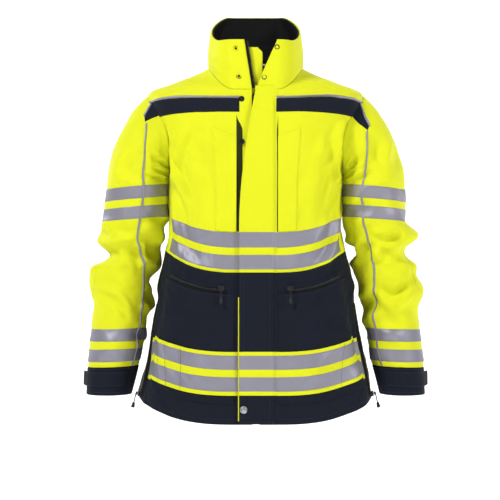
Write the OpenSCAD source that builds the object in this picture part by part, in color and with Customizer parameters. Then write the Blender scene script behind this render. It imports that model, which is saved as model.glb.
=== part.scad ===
// Hi-vis parka with storm flap, two-slider side vents and banded sleeves.
// +X is the wearer's left, -Y the front, +Z up. The origin is the neck point:
// the height of the neck seam at the shoulders, midway between them.

/* [Body] */
// Height of the neck point above the side of the hem
hem_drop = 640; // [580:5:780]
// Half width across the hem
hem_half_width = 226; // [185:1:275]
// Half width under the arms
chest_half_width = 164; // [135:1:200]
// Half width across the shoulder tips
shoulder_half_width = 208; // [172:1:250]
// Half width of the neck seam
neck_half_width = 92; // [76:1:111]
// Depth of the neck seam in front of the mid plane
neck_front_depth = 104; // [86:1:125]
// Depth of the neck seam behind the mid plane
neck_back_depth = 66; // [55:1:80]
// How far the neck seam dips at the front
neck_dip = 50; // [40:1:60]
// How far the front centre line leans out for each millimetre down
front_lean = 0.075; // [0.04:0.005:0.1]
// Half width of the flat strip down the front centre
flat_half_width = 40; // [39:1:48]
// Height of the yellow and navy seam below the neck point
waist_seam_drop = 357; // [340:1:375]

/* [Armhole and sleeve] */
// Height of the top of the armhole below the neck point
arm_top_drop = 52; // [48:1:58]
// Height of the armhole
armhole_height = 143; // [125:1:160]
// Half depth of the armhole, front to back
armhole_reach = 68; // [57:1:78]
// Height of the elbow joint below the neck point
elbow_drop = 385; // [370:1:400]
// Height of the seam between sleeve and cuff
cuff_seam_drop = 580; // [572:1:595]
// Height of the cuff's lower edge
cuff_drop = 634; // [628:1:700]
// Half width of the upper sleeve
sleeve_half_width = 60; // [52:1:72]
// Half depth of the upper sleeve, front to back
sleeve_half_depth = 74; // [62:1:88]
// Half width of the cuff
cuff_half_width = 43; // [36:1:50]

/* [Collar] */
// Height of the collar at the front
collar_front_height = 96; // [80:1:112]
// Height of the collar at the back
collar_back_height = 84; // [70:1:100]
// Half width of the collar's top edge
collar_half_width = 87; // [78:1:95]

/* [Fabric] */
// Thickness of a shell panel with its padding
shell = 2.5; // [2:0.1:3]
// Thickness of the lining
lining = 2; // [1.6:0.1:2.4]
// Thickness of reflective tape and trim
trim = 0.8; // [0.6:0.05:1]
// Clearance between two layers that lie on each other
layer_gap = 0.5; // [0.4:0.05:0.6]
// Width of the gap left at a seam
seam_gap = 1; // [0.8:0.1:1.6]
// Width of one reflective tape
tape_width = 25.4; // [21:0.1:31]

/* [Storm flap and main zip] */
// Distance of the flap's sewn edge from the centre
flap_root = 36; // [32:0.5:38]
// Distance of the flap's free edge from the centre, at the hem
flap_reach = 35; // [29:0.5:38]
// Height of the flap above the shell
flap_lift = 5; // [4.6:0.1:6]
// Half width of the closed zip chain
chain_half_width = 3.4; // [2.9:0.1:4]
// Half thickness of the zip chain
chain_half_depth = 1.2; // [1:0.1:1.4]
// Depth of the zip tape's middle below the shell's face
zip_depth = 3; // [2.8:0.1:3.4]
// Running clearance of the slider on the chain
slider_gap = 0.5; // [0.4:0.05:0.6]

/* [Snaps] */
// Radius of the post of a snap stud
stud_r = 2.2; // [1.9:0.05:2.6]
// Height of the post of a snap stud
stud_height = 2.4; // [2:0.1:2.8]
// Radius of the ring under a snap stud
snap_r = 5.3; // [4.6:0.1:6]

/* [Hand pockets and side zips] */
// Height of the pocket mouth below the neck point
pocket_drop = 391; // [385:1:400]
// Height of the pocket's lower seam
pocket_foot_drop = 604; // [595:1:612]
// Thickness of the pocket panel
pocket_thickness = 3; // [2:0.2:4]
// Length of the cord pulls
pull_length = 27; // [22:1:29]
// Length of each side zip
side_zip_length = 190; // [150:5:215]

/* [Hidden] */

YELLOW = "#eaf22a";
NAVY = "#1e2433";
SILVER = "#9a98a0";
BLACK = "#15161a";
METAL = "#a9abb0";

// The flat strip takes this share of the turn round the body, in degrees
flat_turn = 10;
// Turn of the front side seam, in degrees from the front centre
seam_turn = 72;
arm_mid = -arm_top_drop - armhole_height / 2;
arm_half = armhole_height / 2;
waist = -waist_seam_drop;
hem = -hem_drop;
lean_angle = atan(front_lean);
// First ring of the sleeve proper, below the cap
arm_start = arm_mid - arm_half - 27;
waist_half_width = chest_half_width - 2;

function mix(a, b, k) = a + (b - a) * k;
function unit(v) = v / norm(v);
function smooth(k) = let (c = min(1, max(0, k))) c * c * (3 - 2 * c);
function steps(n, a = 0, b = 1) = [for (i = [0:n]) mix(a, b, i / n)];
function flare(k) = mix(waist_half_width, hem_half_width, k);

// ---- A smooth curve through the rows of a table ----
function row_of(tab, x, i = 0) = (i >= len(tab) - 2 || x <= tab[i + 1][0]) ? i : row_of(tab, x, i + 1);
function slope_at(tab, i, c) = let (lo = max(i - 1, 0), hi = min(i + 1, len(tab) - 1))
    (tab[hi][c] - tab[lo][c]) / (tab[hi][0] - tab[lo][0]);
function curve(tab, x, c) = let (i = row_of(tab, x), a = tab[i], b = tab[i + 1], h = b[0] - a[0],
    k = (x - a[0]) / h)
    (1 + 2 * k) * (1 - k) ^ 2 * a[c] + k * (1 - k) ^ 2 * slope_at(tab, i, c) * h
    + k * k * (3 - 2 * k) * b[c] + k * k * (k - 1) * slope_at(tab, i + 1, c) * h;

// ---- Body surface: side height, front dip, back rise, half width, back depth, and the
// exponent of the rounded-box section ----
BODY = [
    [hem - 40, 44, 6, flare(1.1), 152, 2.6],
    [hem, 42, 8, hem_half_width, 148, 2.6],
    [hem * 0.875, 36, 10, flare(0.73), 138, 2.6],
    [hem * 0.75, 34, 12, flare(0.51), 128, 2.6],
    [hem * 0.625, 40, 12, flare(0.27), 120, 2.6],
    [hem * 0.53, 40, 12, flare(0.07), 116, 2.55],
    [-290, 34, 12, waist_half_width, 118, 2.5],
    [-230, 28, 12, chest_half_width, 124, 2.5],
    [arm_mid - arm_half, 25, 12, chest_half_width + 4, 127, 2.5],
    [-150, 24, 12, mix(chest_half_width, shoulder_half_width, 0.39), 126, 2.45],
    [-100, 25, 12, mix(chest_half_width, shoulder_half_width, 0.8), 118, 2.35],
    [-arm_top_drop, 30, 14, shoulder_half_width, 104, 2.2],
    [-28, 40, 16, mix(neck_half_width, shoulder_half_width, 0.52), 88, 2.1],
    [0, neck_dip, 15, neck_half_width, neck_back_depth, 2],
    [24, neck_dip + 2, 15, neck_half_width - 20, neck_back_depth - 12, 2]];

function dip(s) = curve(BODY, s, 1);
function front_depth(s) = neck_front_depth + front_lean * (dip(s) - s - neck_dip);
function back_depth(s) = curve(BODY, s, 4);
function fold_turn(t) = abs(t > 180 ? t - 360 : t);
function side_sign(t) = (t > 180 ? t - 360 : t) < 0 ? -1 : 1;
function near_turn(u) = u <= 90 ? u : 180 - u;
function round_turn(v) = v <= flat_turn ? 0 : (v - flat_turn) / (90 - flat_turn) * 90;
function power(s) = curve(BODY, s, 5);
function across(v, half, power) = v <= flat_turn ? flat_half_width * v / flat_turn
    : flat_half_width + (half - flat_half_width) * sin(round_turn(v)) ^ (2 / power);
function inward(v, power) = cos(round_turn(v)) ^ (2 / power);

// t is the turn from the front centre, positive to the wearer's left; s is the side height
function body_at(t, s) = let (u = fold_turn(t), v = near_turn(u), w = cos(round_turn(v)) ^ 2)
    [side_sign(t) * across(v, curve(BODY, s, 3), power(s)),
     inward(v, power(s)) * (u <= 90 ? -front_depth(s) : back_depth(s)),
     s + w * (u <= 90 ? -dip(s) : curve(BODY, s, 2))];
// Finds the side height at which the body surface reaches height z
function side_height(t, z) = let (v = near_turn(fold_turn(t)), w = cos(round_turn(v)) ^ 2,
    a = z + w * dip(z), b = z + w * dip(a), c = z + w * dip(b)) z + w * dip(c);
function body_normal(t, s) = unit(cross(body_at(t + 0.4, s) - body_at(t - 0.4, s),
    body_at(t, s + 1) - body_at(t, s - 1)));
body = function (t, s, off) body_at(t, s) + off * body_normal(t, s);
function turn_for(x) = x / flat_half_width * flat_turn;

// ---- Armhole and side seams ----
function arm_turn(s, depth) = let (k = (s - arm_mid) / arm_half) abs(k) >= 1 ? 90
    : flat_turn + acos((armhole_reach * sqrt(1 - k * k) / depth) ^ (power(s) / 2)) / 90 * (90 - flat_turn);
function front_side(s) = let (a = arm_turn(s, front_depth(s))) s < arm_mid ? min(seam_turn, a) : a;
function back_side(s) = let (a = arm_turn(s, back_depth(s))) 180 - (s < arm_mid ? min(seam_turn, a) : a);
function armhole_at(p) = let (s = arm_mid + arm_half * cos(p), front = p <= 180,
    a = arm_turn(s, front ? front_depth(s) : back_depth(s))) body_at(front ? a : 180 - a, s);
function side_top(t) = let (v = near_turn(t), low = arm_mid - arm_half,
    y = inward(v, power(low)) * (t <= 90 ? front_depth(low) : back_depth(low)))
    arm_mid - arm_half * sqrt(max(0, 1 - (y / armhole_reach) ^ 2));

// ---- Sleeve surface: height, gap to the body, centre y, half width, half depth, tilt ----
ARM = [
    [-cuff_drop - 40, 18, -40, cuff_half_width - 2, cuff_half_width + 3, 0],
    [-cuff_drop, 17, -30, cuff_half_width, cuff_half_width + 4, 0],
    [-cuff_seam_drop, 15, -20, cuff_half_width + 6, cuff_half_width + 9, 0.04],
    [-510, 17, -8, mix(cuff_half_width, sleeve_half_width, 0.47), mix(cuff_half_width, sleeve_half_depth, 0.48), 0.03],
    [-455, 15, 0, sleeve_half_width - 3, sleeve_half_depth - 10, 0.02],
    [-378, 20, 6, sleeve_half_width - 3, sleeve_half_depth - 8, 0.03],
    [-300, 9, 4, sleeve_half_width + 4, sleeve_half_depth - 2, 0.08],
    [arm_start, 5, 2, sleeve_half_width, sleeve_half_depth, 0.09],
    [arm_start + 60, 5, 2, sleeve_half_width, sleeve_half_depth, 0.09]];
function arm_x(z) = curve(BODY, z, 3) + curve(ARM, z, 1) + curve(ARM, z, 3);
function arm_ring(p, z) = let (c = cos(p), half = curve(ARM, z, 3))
    [arm_x(z) + half * c, curve(ARM, z, 2) - curve(ARM, z, 4) * sin(p), z - curve(ARM, z, 5) * half * c];
function cap_at(p, k) = let (a = armhole_at(p), b = arm_ring(p, arm_start), reach = norm(b - a),
    top = (1 + cos(p)) / 2, out = unit([mix(0.15, 0.85, min(1, 2.2 * top)), 0, -mix(1, 0.62, top)]),
    down = arm_ring(p, arm_start - 1) - arm_ring(p, arm_start + 1))
    (1 + 2 * k) * (1 - k) ^ 2 * a + k * (1 - k) ^ 2 * reach * 0.8 * out
    + k * k * (3 - 2 * k) * b + k * k * (k - 1) * reach * 0.9 * unit(down);
// p is the turn round the sleeve from its outer side to the front. q runs from -1 at the
// armhole to 0 at the end of the cap, and is in millimetres down the arm from there.
function sleeve_at(p, q) = q < 0 ? cap_at(p, q + 1) : arm_ring(p, arm_start - q);
function sleeve_normal(p, q) = let (e = q <= 0 ? 0.01 : 1)
    unit(cross(sleeve_at(p + 1, q) - sleeve_at(p - 1, q), sleeve_at(p, q + e) - sleeve_at(p, q - e)));
sleeve = function (p, q, off) sleeve_at(p, q) + off * sleeve_normal(p, q);
function arm_q(drop) = arm_start + drop;

// ---- Collar surface: t as on the body, h from 0 at the neck seam to 1 at the top edge ----
function collar_top(t) = let (u = fold_turn(t), v = near_turn(u), back = smooth((u - 40) / 110))
    [side_sign(t) * across(v, collar_half_width - 12 * smooth((u - 90) / 60), 2.1),
     inward(v, 2.1) * (u <= 90 ? 6 - neck_front_depth : neck_back_depth - 6),
     mix(collar_front_height - neck_dip, collar_back_height + 15, back)];
function collar_at(t, h) = mix(body_at(t, 0), collar_top(t), h);
function collar_normal(t, h) = unit(cross(collar_at(t + 0.4, h) - collar_at(t - 0.4, h),
    collar_at(t, h + 0.01) - collar_at(t, h - 0.01)));
collar = function (t, h, off) collar_at(t, h) + off * collar_normal(t, h);
// The open collar: the turns of its two front edges at height h
function collar_left_edge(h) = turn_for(0.5 + 41 * h ^ 1.1);
function collar_right_edge(h) = 360 - turn_for(7 + 15 * h);

// ---- Solids ----
// A sheet between two offsets of a surface: us and vs are its grid, place maps them onto
// the surface's own coordinates, and closed joins the last column to the first
module sheet(skin, us, vs, place, low, high, closed = false) {
    n = len(us);
    m = len(vs);
    function ring(off) = [for (v = vs, u = us) let (c = place(u, v)) skin(c[0], c[1], off)];
    function o(i, j) = i * n + j % n;
    function q(i, j) = m * n + i * n + j % n;
    last = closed ? n - 1 : n - 2;
    faces = concat(
        [for (i = [0:m - 2], j = [0:last], f = [
            [o(i, j), o(i + 1, j), o(i + 1, j + 1)], [o(i, j), o(i + 1, j + 1), o(i, j + 1)],
            [q(i, j), q(i + 1, j + 1), q(i + 1, j)], [q(i, j), q(i, j + 1), q(i + 1, j + 1)]]) f],
        [for (j = [0:last], f = [
            [o(0, j), o(0, j + 1), q(0, j + 1)], [o(0, j), q(0, j + 1), q(0, j)],
            [o(m - 1, j + 1), o(m - 1, j), q(m - 1, j)],
            [o(m - 1, j + 1), q(m - 1, j), q(m - 1, j + 1)]]) f],
        closed ? [] : [for (i = [0:m - 2], f = [
            [o(i + 1, 0), o(i, 0), q(i, 0)], [o(i + 1, 0), q(i, 0), q(i + 1, 0)],
            [o(i, n - 1), o(i + 1, n - 1), q(i + 1, n - 1)],
            [o(i, n - 1), q(i + 1, n - 1), q(i, n - 1)]]) f]);
    polyhedron(points = concat(ring(high), ring(low)), faces = faces, convexity = 8);
}
// Stands children on a surface point, with local +Z along the outward normal and +Y uphill
module stand(p, n, up = [0, 0, 1]) {
    x = unit(cross(up, n));
    y = cross(n, x);
    multmatrix([[x[0], y[0], n[0], p[0]], [x[1], y[1], n[1], p[1]], [x[2], y[2], n[2], p[2]], [0, 0, 0, 1]])
        children();
}
module on_body(t, s, off = 0) stand(body(t, s, off), body_normal(t, s)) children();
module on_collar(t, h, off = 0) stand(collar(t, h, off), collar_normal(t, h)) children();
// Stands children on the straight front centre line at height z, +Z outwards and +Y up the line
module on_front(x, z, off = 0)
    translate([x, -neck_front_depth + front_lean * (z + neck_dip), z]) rotate([90 - lean_angle, 0, 0])
        translate([0, 0, off]) children();
module both_sides() {
    children();
    mirror([1, 0, 0]) children();
}

// ---- Shell panels ----
front_edge = turn_for(7);
seam_step = 0.3; // degrees left at a lengthwise seam
// Rows that follow the armhole closely
ARM_ROWS = [for (a = [180:-20:20]) arm_mid + arm_half * cos(a)];
UPPER_ROWS = concat([waist + seam_gap / 2, -320, -280, -240, -215], ARM_ROWS,
    [-arm_top_drop - 1, -arm_top_drop + 8, -28, -14, -seam_gap / 2]);
LOWER_ROWS = concat(steps(6, hem, waist - seam_gap / 2));

module front_panel(rows, low, high, inner = front_edge, columns = 14)
    sheet(body, steps(columns), rows,
        function (u, s) [mix(inner, front_side(s) - seam_step, u), s], low, high);
module back_panel(rows, low, high, columns = 26)
    sheet(body, steps(columns), rows,
        function (u, s) [mix(back_side(s) + seam_step, 360 - back_side(s) - seam_step, u), s], low, high);
module side_panel(foot, top, low, high, columns = 6)
    sheet(body, steps(columns, seam_turn + seam_step, 180 - seam_turn - seam_step), steps(6),
        function (t, v) [t, mix(foot, top == undef ? side_top(t) - seam_gap : top, v)], low, high);
// Its lining runs past the waist seam, with rows that follow both parts
module side_lining(foot, low, high)
    sheet(body, steps(6, seam_turn + seam_step, 180 - seam_turn - seam_step), concat(steps(6), steps(5, 1.2, 2)),
        function (t, v) [t, v <= 1 ? mix(foot, waist, v) : mix(waist, side_top(t) - seam_gap, v - 1)], low, high);

module front_upper_left() color(YELLOW) front_panel(UPPER_ROWS, -shell, 0);
module front_upper_right() mirror([1, 0, 0]) front_upper_left();
module front_lower_left() color(NAVY) front_panel(LOWER_ROWS, -shell, 0);
module front_lower_right() mirror([1, 0, 0]) front_lower_left();
module side_upper_left() color(YELLOW) side_panel(waist + seam_gap / 2, undef, -shell, 0);
module side_upper_right() mirror([1, 0, 0]) side_upper_left();
module side_lower_left() color(BLACK) side_panel(hem, waist - seam_gap / 2, -shell, 0);
module side_lower_right() mirror([1, 0, 0]) side_lower_left();

yoke_seam = -92;
module back_yoke() color(NAVY)
    back_panel([yoke_seam + seam_gap / 2, -78, -64, -arm_top_drop - 1, -arm_top_drop + 8, -28, -14,
        -seam_gap / 2], -shell, 0);
module back_upper() color(YELLOW)
    back_panel(concat([waist + seam_gap / 2, -310, -250, -215],
        [for (a = [180:-20:70]) arm_mid + arm_half * cos(a)], [yoke_seam - seam_gap / 2]), -shell, 0);
module back_lower() color(NAVY) back_panel(LOWER_ROWS, -shell, 0);

lining_high = -shell - layer_gap - 0.8;
lining_rows = concat([hem + 12], steps(5, mix(hem, waist, 1 / 6), waist), [-320, -280, -240, -215],
    [for (a = [180:-30:30]) arm_mid + arm_half * cos(a)], [-arm_top_drop - 1, -arm_top_drop + 8, -28, -14, -4]);
module body_lining() color(BLACK) {
    both_sides() {
        front_panel(lining_rows, lining_high - lining, lining_high, turn_for(flat_half_width - 1), 7);
        side_lining(hem + 12, lining_high - lining, lining_high);
    }
    back_panel(lining_rows, lining_high - lining, lining_high, 13);
}

// ---- Trim on the shell ----
trim_low = layer_gap + 0.4; // clears the flats of the panels below
trim_high = trim_low + trim;
band_turn = seam_turn - 10;
module chest_strip(top, foot, drop, low, high)
    sheet(body, steps(14), steps(2), function (u, v)
        let (t = mix(turn_for(flat_half_width - 2), band_turn, u))
        [t, side_height(t, mix(foot, top, v) - drop * u * u)], low, high);
module chest_bands() color(NAVY) both_sides() chest_strip(-66, -93, 6, trim_low, trim_high);
module chest_piping() color(SILVER) both_sides() chest_strip(-61, -65, 7, trim_low, trim_high + 0.8);
module shoulder_patches() color(YELLOW) both_sides()
    sheet(body, steps(3, 62, 84), steps(3, -48, -22), function (t, s) [t, s], trim_low, trim_high);
module chest_pockets() color(YELLOW) both_sides()
    sheet(body, steps(4, turn_for(flat_half_width), 26), steps(6, -284, -96), function (t, s) [t, s],
        trim_low, trim_low + 1.8);

// Two reflective tapes round a sleeve or along a body band, from the drop of the upper one
function tape_rows(drop, gap) = [-drop - tape_width, -drop, -drop - 2 * tape_width - gap, -drop - tape_width - gap];
waist_tape_drop = 288;
hem_tape_drop = 519;
hem_tape_gap = 13;
waist_tape_gap = 15;
module body_tape(t0, t1, low_s, high_s, low, high, columns = 14)
    sheet(body, steps(columns, t0, t1), [low_s, high_s], function (t, s) [t, s], low, high);
module tape_pair(t0, t1, drop, gap, low, high, columns = 14)
    for (i = [0, 2]) let (r = tape_rows(drop, gap))
        body_tape(t0, t1, r[i], r[i + 1], low, high, columns);
pocket_high = trim_low + pocket_thickness;
pocket_turn = 66;
pocket_front = turn_for(flat_half_width);
backing_low = pocket_high + layer_gap;
backing_high = backing_low + trim;
module body_tapes() color(SILVER) {
    both_sides() {
        tape_pair(turn_for(flat_half_width), seam_turn - 3, waist_tape_drop, waist_tape_gap,
            trim_low, trim_high);
        tape_pair(pocket_front, pocket_turn, hem_tape_drop, hem_tape_gap, backing_high + layer_gap,
            backing_high + layer_gap + trim);
        tape_pair(pocket_turn + 1.5, seam_turn - 1, hem_tape_drop, hem_tape_gap,
            trim_high + 2 * layer_gap, trim_high + 2 * layer_gap + trim, 3);
    }
    tape_pair(188 - seam_turn, 172 + seam_turn, waist_tape_drop, waist_tape_gap, trim_low, trim_high, 26);
    tape_pair(188 - seam_turn, 172 + seam_turn, hem_tape_drop, hem_tape_gap, trim_high + 2 * layer_gap,
        trim_high + 2 * layer_gap + trim, 26);
}
hem_band_top = -hem_tape_drop + 7;
hem_band_foot = -hem_tape_drop - 2 * tape_width - hem_tape_gap - 7;
module hem_band_backing() color(YELLOW) {
    both_sides() {
        body_tape(pocket_front, pocket_turn, hem_band_foot, hem_band_top, backing_low, backing_high);
        body_tape(pocket_turn + 1.5, seam_turn - 1, hem_band_foot, hem_band_top, trim_low, trim_high, 3);
    }
    body_tape(188 - seam_turn, 172 + seam_turn, hem_band_foot, hem_band_top, trim_low, trim_high, 26);
}
module hand_pocket_left() color(NAVY)
    sheet(body, steps(14, pocket_front, pocket_turn), steps(5, -pocket_foot_drop, -pocket_drop - 3),
        function (t, s) [t, s], trim_low, pocket_high);
module hand_pocket_right() mirror([1, 0, 0]) hand_pocket_left();

// ---- Collar ----
module collar_shell() color(YELLOW)
    sheet(collar, steps(36), [0.012, 0.33, 0.66, 1],
        function (u, h) [mix(collar_left_edge(h), collar_right_edge(h), u), h], -shell, 0);
module collar_lining() color(BLACK)
    sheet(collar, steps(36), [0.05, 0.5, 0.985],
        function (u, h) [mix(collar_left_edge(h) + turn_for(10), collar_right_edge(h) - turn_for(10), u), h],
        lining_high - lining, lining_high);
guard_high = -zip_depth - chain_half_depth - slider_gap - 3.2;
guard_low = guard_high - 1.4;
guard_left = 13;
guard_right = -24;
module wind_guard() color(YELLOW) {
    sheet(collar, steps(3), [0.06, 0.5, 0.72, 0.86],
        function (u, h) [mix(turn_for(guard_right + 8 * h), turn_for(guard_left - (h > 0.8 ? 9 : 0)), u), h],
        guard_low, guard_high);
    on_front(0, 0)
        translate([guard_right, hem - 6, guard_low]) cube([guard_left - guard_right, -hem - 60, 1.4]);
}
loop_width = 70;
loop_reach = 8;
loop_strap = 1.2;
module hanger_loop() color(BLACK)
    translate([0, neck_back_depth + lining_high - lining - 1, 20]) {
        translate([-loop_width / 2, -loop_reach - loop_strap, 0]) cube([loop_width, loop_strap, 8]);
        for (x = [-loop_width / 2, loop_width / 2 - 6])
            translate([x, -loop_reach - loop_strap, 0]) cube([6, loop_reach + loop_strap, 8]);
    }

// ---- Main zip, in the frame of the front centre line ----
zip_top = -58;
zip_foot = hem - 12;
zip_length = zip_top - zip_foot;
tape_thickness = 0.6;
module zip_tapes() color(BLACK) {
    both_sides() on_front(0, 0)
        translate([chain_half_width + 0.2, zip_foot, -zip_depth - tape_thickness / 2])
            cube([14, zip_length, tape_thickness]);
    sheet(collar, steps(1), [0.03, 0.5, 0.99],
        function (u, h) [collar_right_edge(h) + turn_for(mix(-8, 5, u)), h], -zip_depth - 0.6, -zip_depth);
    sheet(collar, steps(1), [0.03, 0.5, 0.99],
        function (u, h) [collar_left_edge(h) + turn_for(mix(0.2, 5.5, u)), h], -zip_depth - 0.6, -zip_depth);
}
web = 0.4;
row_inner = web / 2 + 0.3;
module zip_teeth() color(BLACK) {
    both_sides() on_front(0, 0)
        translate([row_inner, zip_foot, -zip_depth - chain_half_depth])
            cube([chain_half_width - row_inner, zip_length, 2 * chain_half_depth]);
    sheet(collar, steps(1), [0.03, 0.5, 0.99],
        function (u, h) [collar_right_edge(h) + turn_for(mix(5.3, 6.8, u)), h], -zip_depth - 1.6, -zip_depth + 0.8);
    on_front(0, 0) translate([-5, zip_foot - 13, -zip_depth - 1.8]) cube([10, 12.4, 3.6]);
}
slider_length = 11;
plate = 1.1;
slider_half = chain_half_width + slider_gap + 1;
slider_y = zip_top - 5;
module main_zip_slider() color(METAL) on_front(0, 0) translate([0, slider_y, -zip_depth]) {
    reach = chain_half_depth + slider_gap;
    for (side = [0, 1]) mirror([0, 0, side]) {
        translate([-slider_half, -slider_length / 2, reach]) cube([2 * slider_half, slider_length, plate]);
        for (x = [-slider_half, slider_half - 1])
            translate([x, -slider_length / 2, tape_thickness / 2 + 0.5])
                cube([1, slider_length, reach - tape_thickness / 2 - 0.4]);
    }
    translate([-web / 2, 1, -reach - 0.1]) cube([web, 4, 2 * reach + 0.2]);
    translate([0, 4, reach + plate + 0.35]) rotate([0, 90, 0]) cylinder(h = 4, r = 0.55, center = true, $fn = 32);
    for (x = [-2, 1.4]) translate([x, 3.2, reach + plate - 0.1]) cube([0.6, 1.6, 1]);
}
module main_zip_puller() color(BLACK) on_front(0, 0)
    translate([0, slider_y + 4, -zip_depth + chain_half_depth + slider_gap + plate + 0.35])
        difference() {
            translate([-0.95, -17, -0.05]) union() {
                translate([0, 5, 0]) cube([1.9, 13.2, 1]);
                translate([-1.8, 0, 0]) cube([5.5, 7, 1.4]);
            }
            rotate([0, 90, 0]) cylinder(h = 8, r = 0.8, center = true, $fn = 32);
        }

// ---- Snaps ----
socket_r = 5;
module stud() {
    cylinder(h = 1, r = snap_r, $fn = 48);
    cylinder(h = 1 + stud_height, r = stud_r, $fn = 48);
}
flap_snap_x = 26;
FLAP_SNAPS = [-150, -245, -340, -435, -530, hem - 12];
module snap_studs() color(METAL) {
    on_collar(360 - turn_for(38), 0.81, layer_gap) stud();
    on_collar(360 - turn_for(32), 0.26, layer_gap) stud();
    on_front(-27, -68, layer_gap) stud();
    for (z = FLAP_SNAPS) on_front(-flap_snap_x, z, layer_gap) stud();
    for (h = [0.24, 0.84]) on_collar(collar_left_edge(h) + turn_for(7), h, layer_gap)
        cylinder(h = 1.4, r = socket_r, $fn = 48);
}
module flap_snaps() color(METAL) {
    for (z = FLAP_SNAPS) on_front(-flap_snap_x, z, flap_lift - 2 - layer_gap) difference() {
        cylinder(h = 2, r = socket_r, $fn = 48);
        translate([0, 0, -1]) cylinder(h = 4, r = stud_r + 0.6, $fn = 48);
    }
    on_front(-flap_snap_x + 3, hem - 12, flap_lift + shell + layer_gap) {
        cylinder(h = 1.2, r = 6, $fn = 48);
        cylinder(h = 1.9, r = 4.6, $fn = 48);
    }
}

// ---- Storm flap: flat, because the front centre strip is flat ----
flap_top = -52;
flap_foot = hem - 41;
flap_waist = waist - 41;
// Distance of the free edge from the centre at height z
function flap_edge(z) = -mix(1, flap_reach, smooth((flap_top - z) / 260) ^ 0.5);
module flap_part(top, foot, low, high, pieces = 6)
    on_front(0, 0) translate([0, 0, low]) linear_extrude(high - low)
        polygon(concat([[flap_root, foot], [flap_root, top]],
            [for (z = steps(pieces, top, foot)) [flap_edge(z), z]]));
module storm_flap_upper() color(YELLOW)
    flap_part(flap_top, flap_waist + seam_gap / 2, flap_lift, flap_lift + shell, 8);
module storm_flap_lower() color(NAVY) flap_part(flap_waist - seam_gap / 2, flap_foot, flap_lift, flap_lift + shell);
// Height on the front centre line of a side height
function front_height(s) = s - dip(s);
module flap_tapes() color(SILVER)
    for (r = [tape_rows(waist_tape_drop, waist_tape_gap), tape_rows(hem_tape_drop, hem_tape_gap)], i = [0, 2])
        flap_part(front_height(r[i + 1]), front_height(r[i]), flap_lift + shell + layer_gap,
            flap_lift + shell + layer_gap + trim, 2);

// ---- Hand pocket zips ----
pocket_zip_turns = [14, 58];
module pocket_zips() color(BLACK) both_sides() {
    body_tape(pocket_zip_turns[0], pocket_zip_turns[1], -pocket_drop - 2, -pocket_drop + 9, trim_low, trim_high, 8);
    body_tape(pocket_zip_turns[0], pocket_zip_turns[1], -pocket_drop + 2, -pocket_drop + 6,
        trim_high + 0.3, trim_high + 1.3, 8);
}
pocket_slider_turn = 15.5;
slider_lift = trim_high + 3.6;
pull_stem = 1.2;
pin_r = 0.6;
pin_lift = 5.2;
module small_slider(wide, tall) {
    translate([-wide / 2, -tall / 2, 0]) cube([wide, tall, 2.4]);
    for (x = [-2.6, 1.6]) translate([x, -1.6, 2.3]) cube([1, 3.2, pin_lift - 1]);
    translate([0, 0, pin_lift]) rotate([0, 90, 0]) cylinder(h = 5, r = pin_r, center = true, $fn = 32);
}
// A cord loop with a moulded end, hanging down -Z from its pivot at the origin
module cord_pull() difference() {
    union() {
        rotate([0, 90, 0]) cylinder(h = 2 * pull_stem, r = 2, center = true, $fn = 32);
        translate([0, 0, -pull_length + 9]) cylinder(h = pull_length - 10.4, r = pull_stem, $fn = 32);
        translate([0, 0, -pull_length]) cylinder(h = 10, r1 = 3.4, r2 = 2.4, $fn = 40);
    }
    rotate([0, 90, 0]) cylinder(h = 8, r = pin_r + 0.3, center = true, $fn = 32);
}
// Hangs children from the pin of a small slider, down the body and just clear of it
module hang_at(t, s) on_body(t, s, slider_lift) translate([0, 0, pin_lift]) rotate([-88, 0, 0]) children();
module pocket_slider_left() color(BLACK) on_body(pocket_slider_turn, -pocket_drop + 4, slider_lift) small_slider(11, 8);
module pocket_slider_right() mirror([1, 0, 0]) pocket_slider_left();
module pocket_pull_left() color(BLACK)
    hang_at(pocket_slider_turn, -pocket_drop + 4) cord_pull();
module pocket_pull_right() mirror([1, 0, 0]) pocket_pull_left();

// ---- Side zips ----
side_zip_turn = 79;
side_zip_foot = hem + 4;
side_zip_top = side_zip_foot + side_zip_length;
module side_strip(half, low, high)
    sheet(body, [-half, half], steps(5, side_zip_foot, side_zip_top),
        function (u, s) [side_zip_turn + u, s], low, high);
module side_zips() color(BLACK) both_sides() {
    side_strip(2, trim_low, trim_high);
    side_strip(0.8, trim_high + 0.3, trim_high + 1.3);
}
module side_slider_left() color(BLACK) on_body(side_zip_turn, side_zip_foot + 5, slider_lift)
    small_slider(8, 11);
module side_slider_right() mirror([1, 0, 0]) side_slider_left();
module side_pull_left() color(BLACK)
    hang_at(side_zip_turn, side_zip_foot + 5) cord_pull();
module side_pull_right() mirror([1, 0, 0]) side_pull_left();

// ---- Sleeves ----
module tube(rows, low, high, columns = 24)
    sheet(sleeve, [for (i = [0:columns - 1]) 360 * i / columns], rows, function (p, q) [p, q], low, high, true);
elbow_q = arm_q(elbow_drop);
cuff_q = arm_q(cuff_seam_drop);
module sleeve_left() color(YELLOW)
    tube(concat([-0.985, -0.9, -0.75, -0.6, -0.45, -0.3, -0.15], steps(4, 0, elbow_q - seam_gap)), -shell, 0);
module sleeve_right() mirror([1, 0, 0]) sleeve_left();
module arm_tape(drop, low = trim_low, high = trim_high)
    tube([arm_q(drop), arm_q(drop + tape_width - 1.5)], low, high);
module arm_tapes_left() color(SILVER) for (drop = [232, 271]) arm_tape(drop);
module arm_tapes_right() mirror([1, 0, 0]) arm_tapes_left();
piping_half = 2;
module piping(rows)
    sheet(sleeve, [-piping_half, piping_half], rows,
        function (u, q) [mix(90, 133, smooth((q + 60) / 330)) + u, q], trim_high + layer_gap, trim_high + layer_gap + 1.4);
module sleeve_piping_left() color(SILVER) piping(concat([-0.9, -0.6, -0.3], steps(4, 0, elbow_q - seam_gap)));
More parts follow.
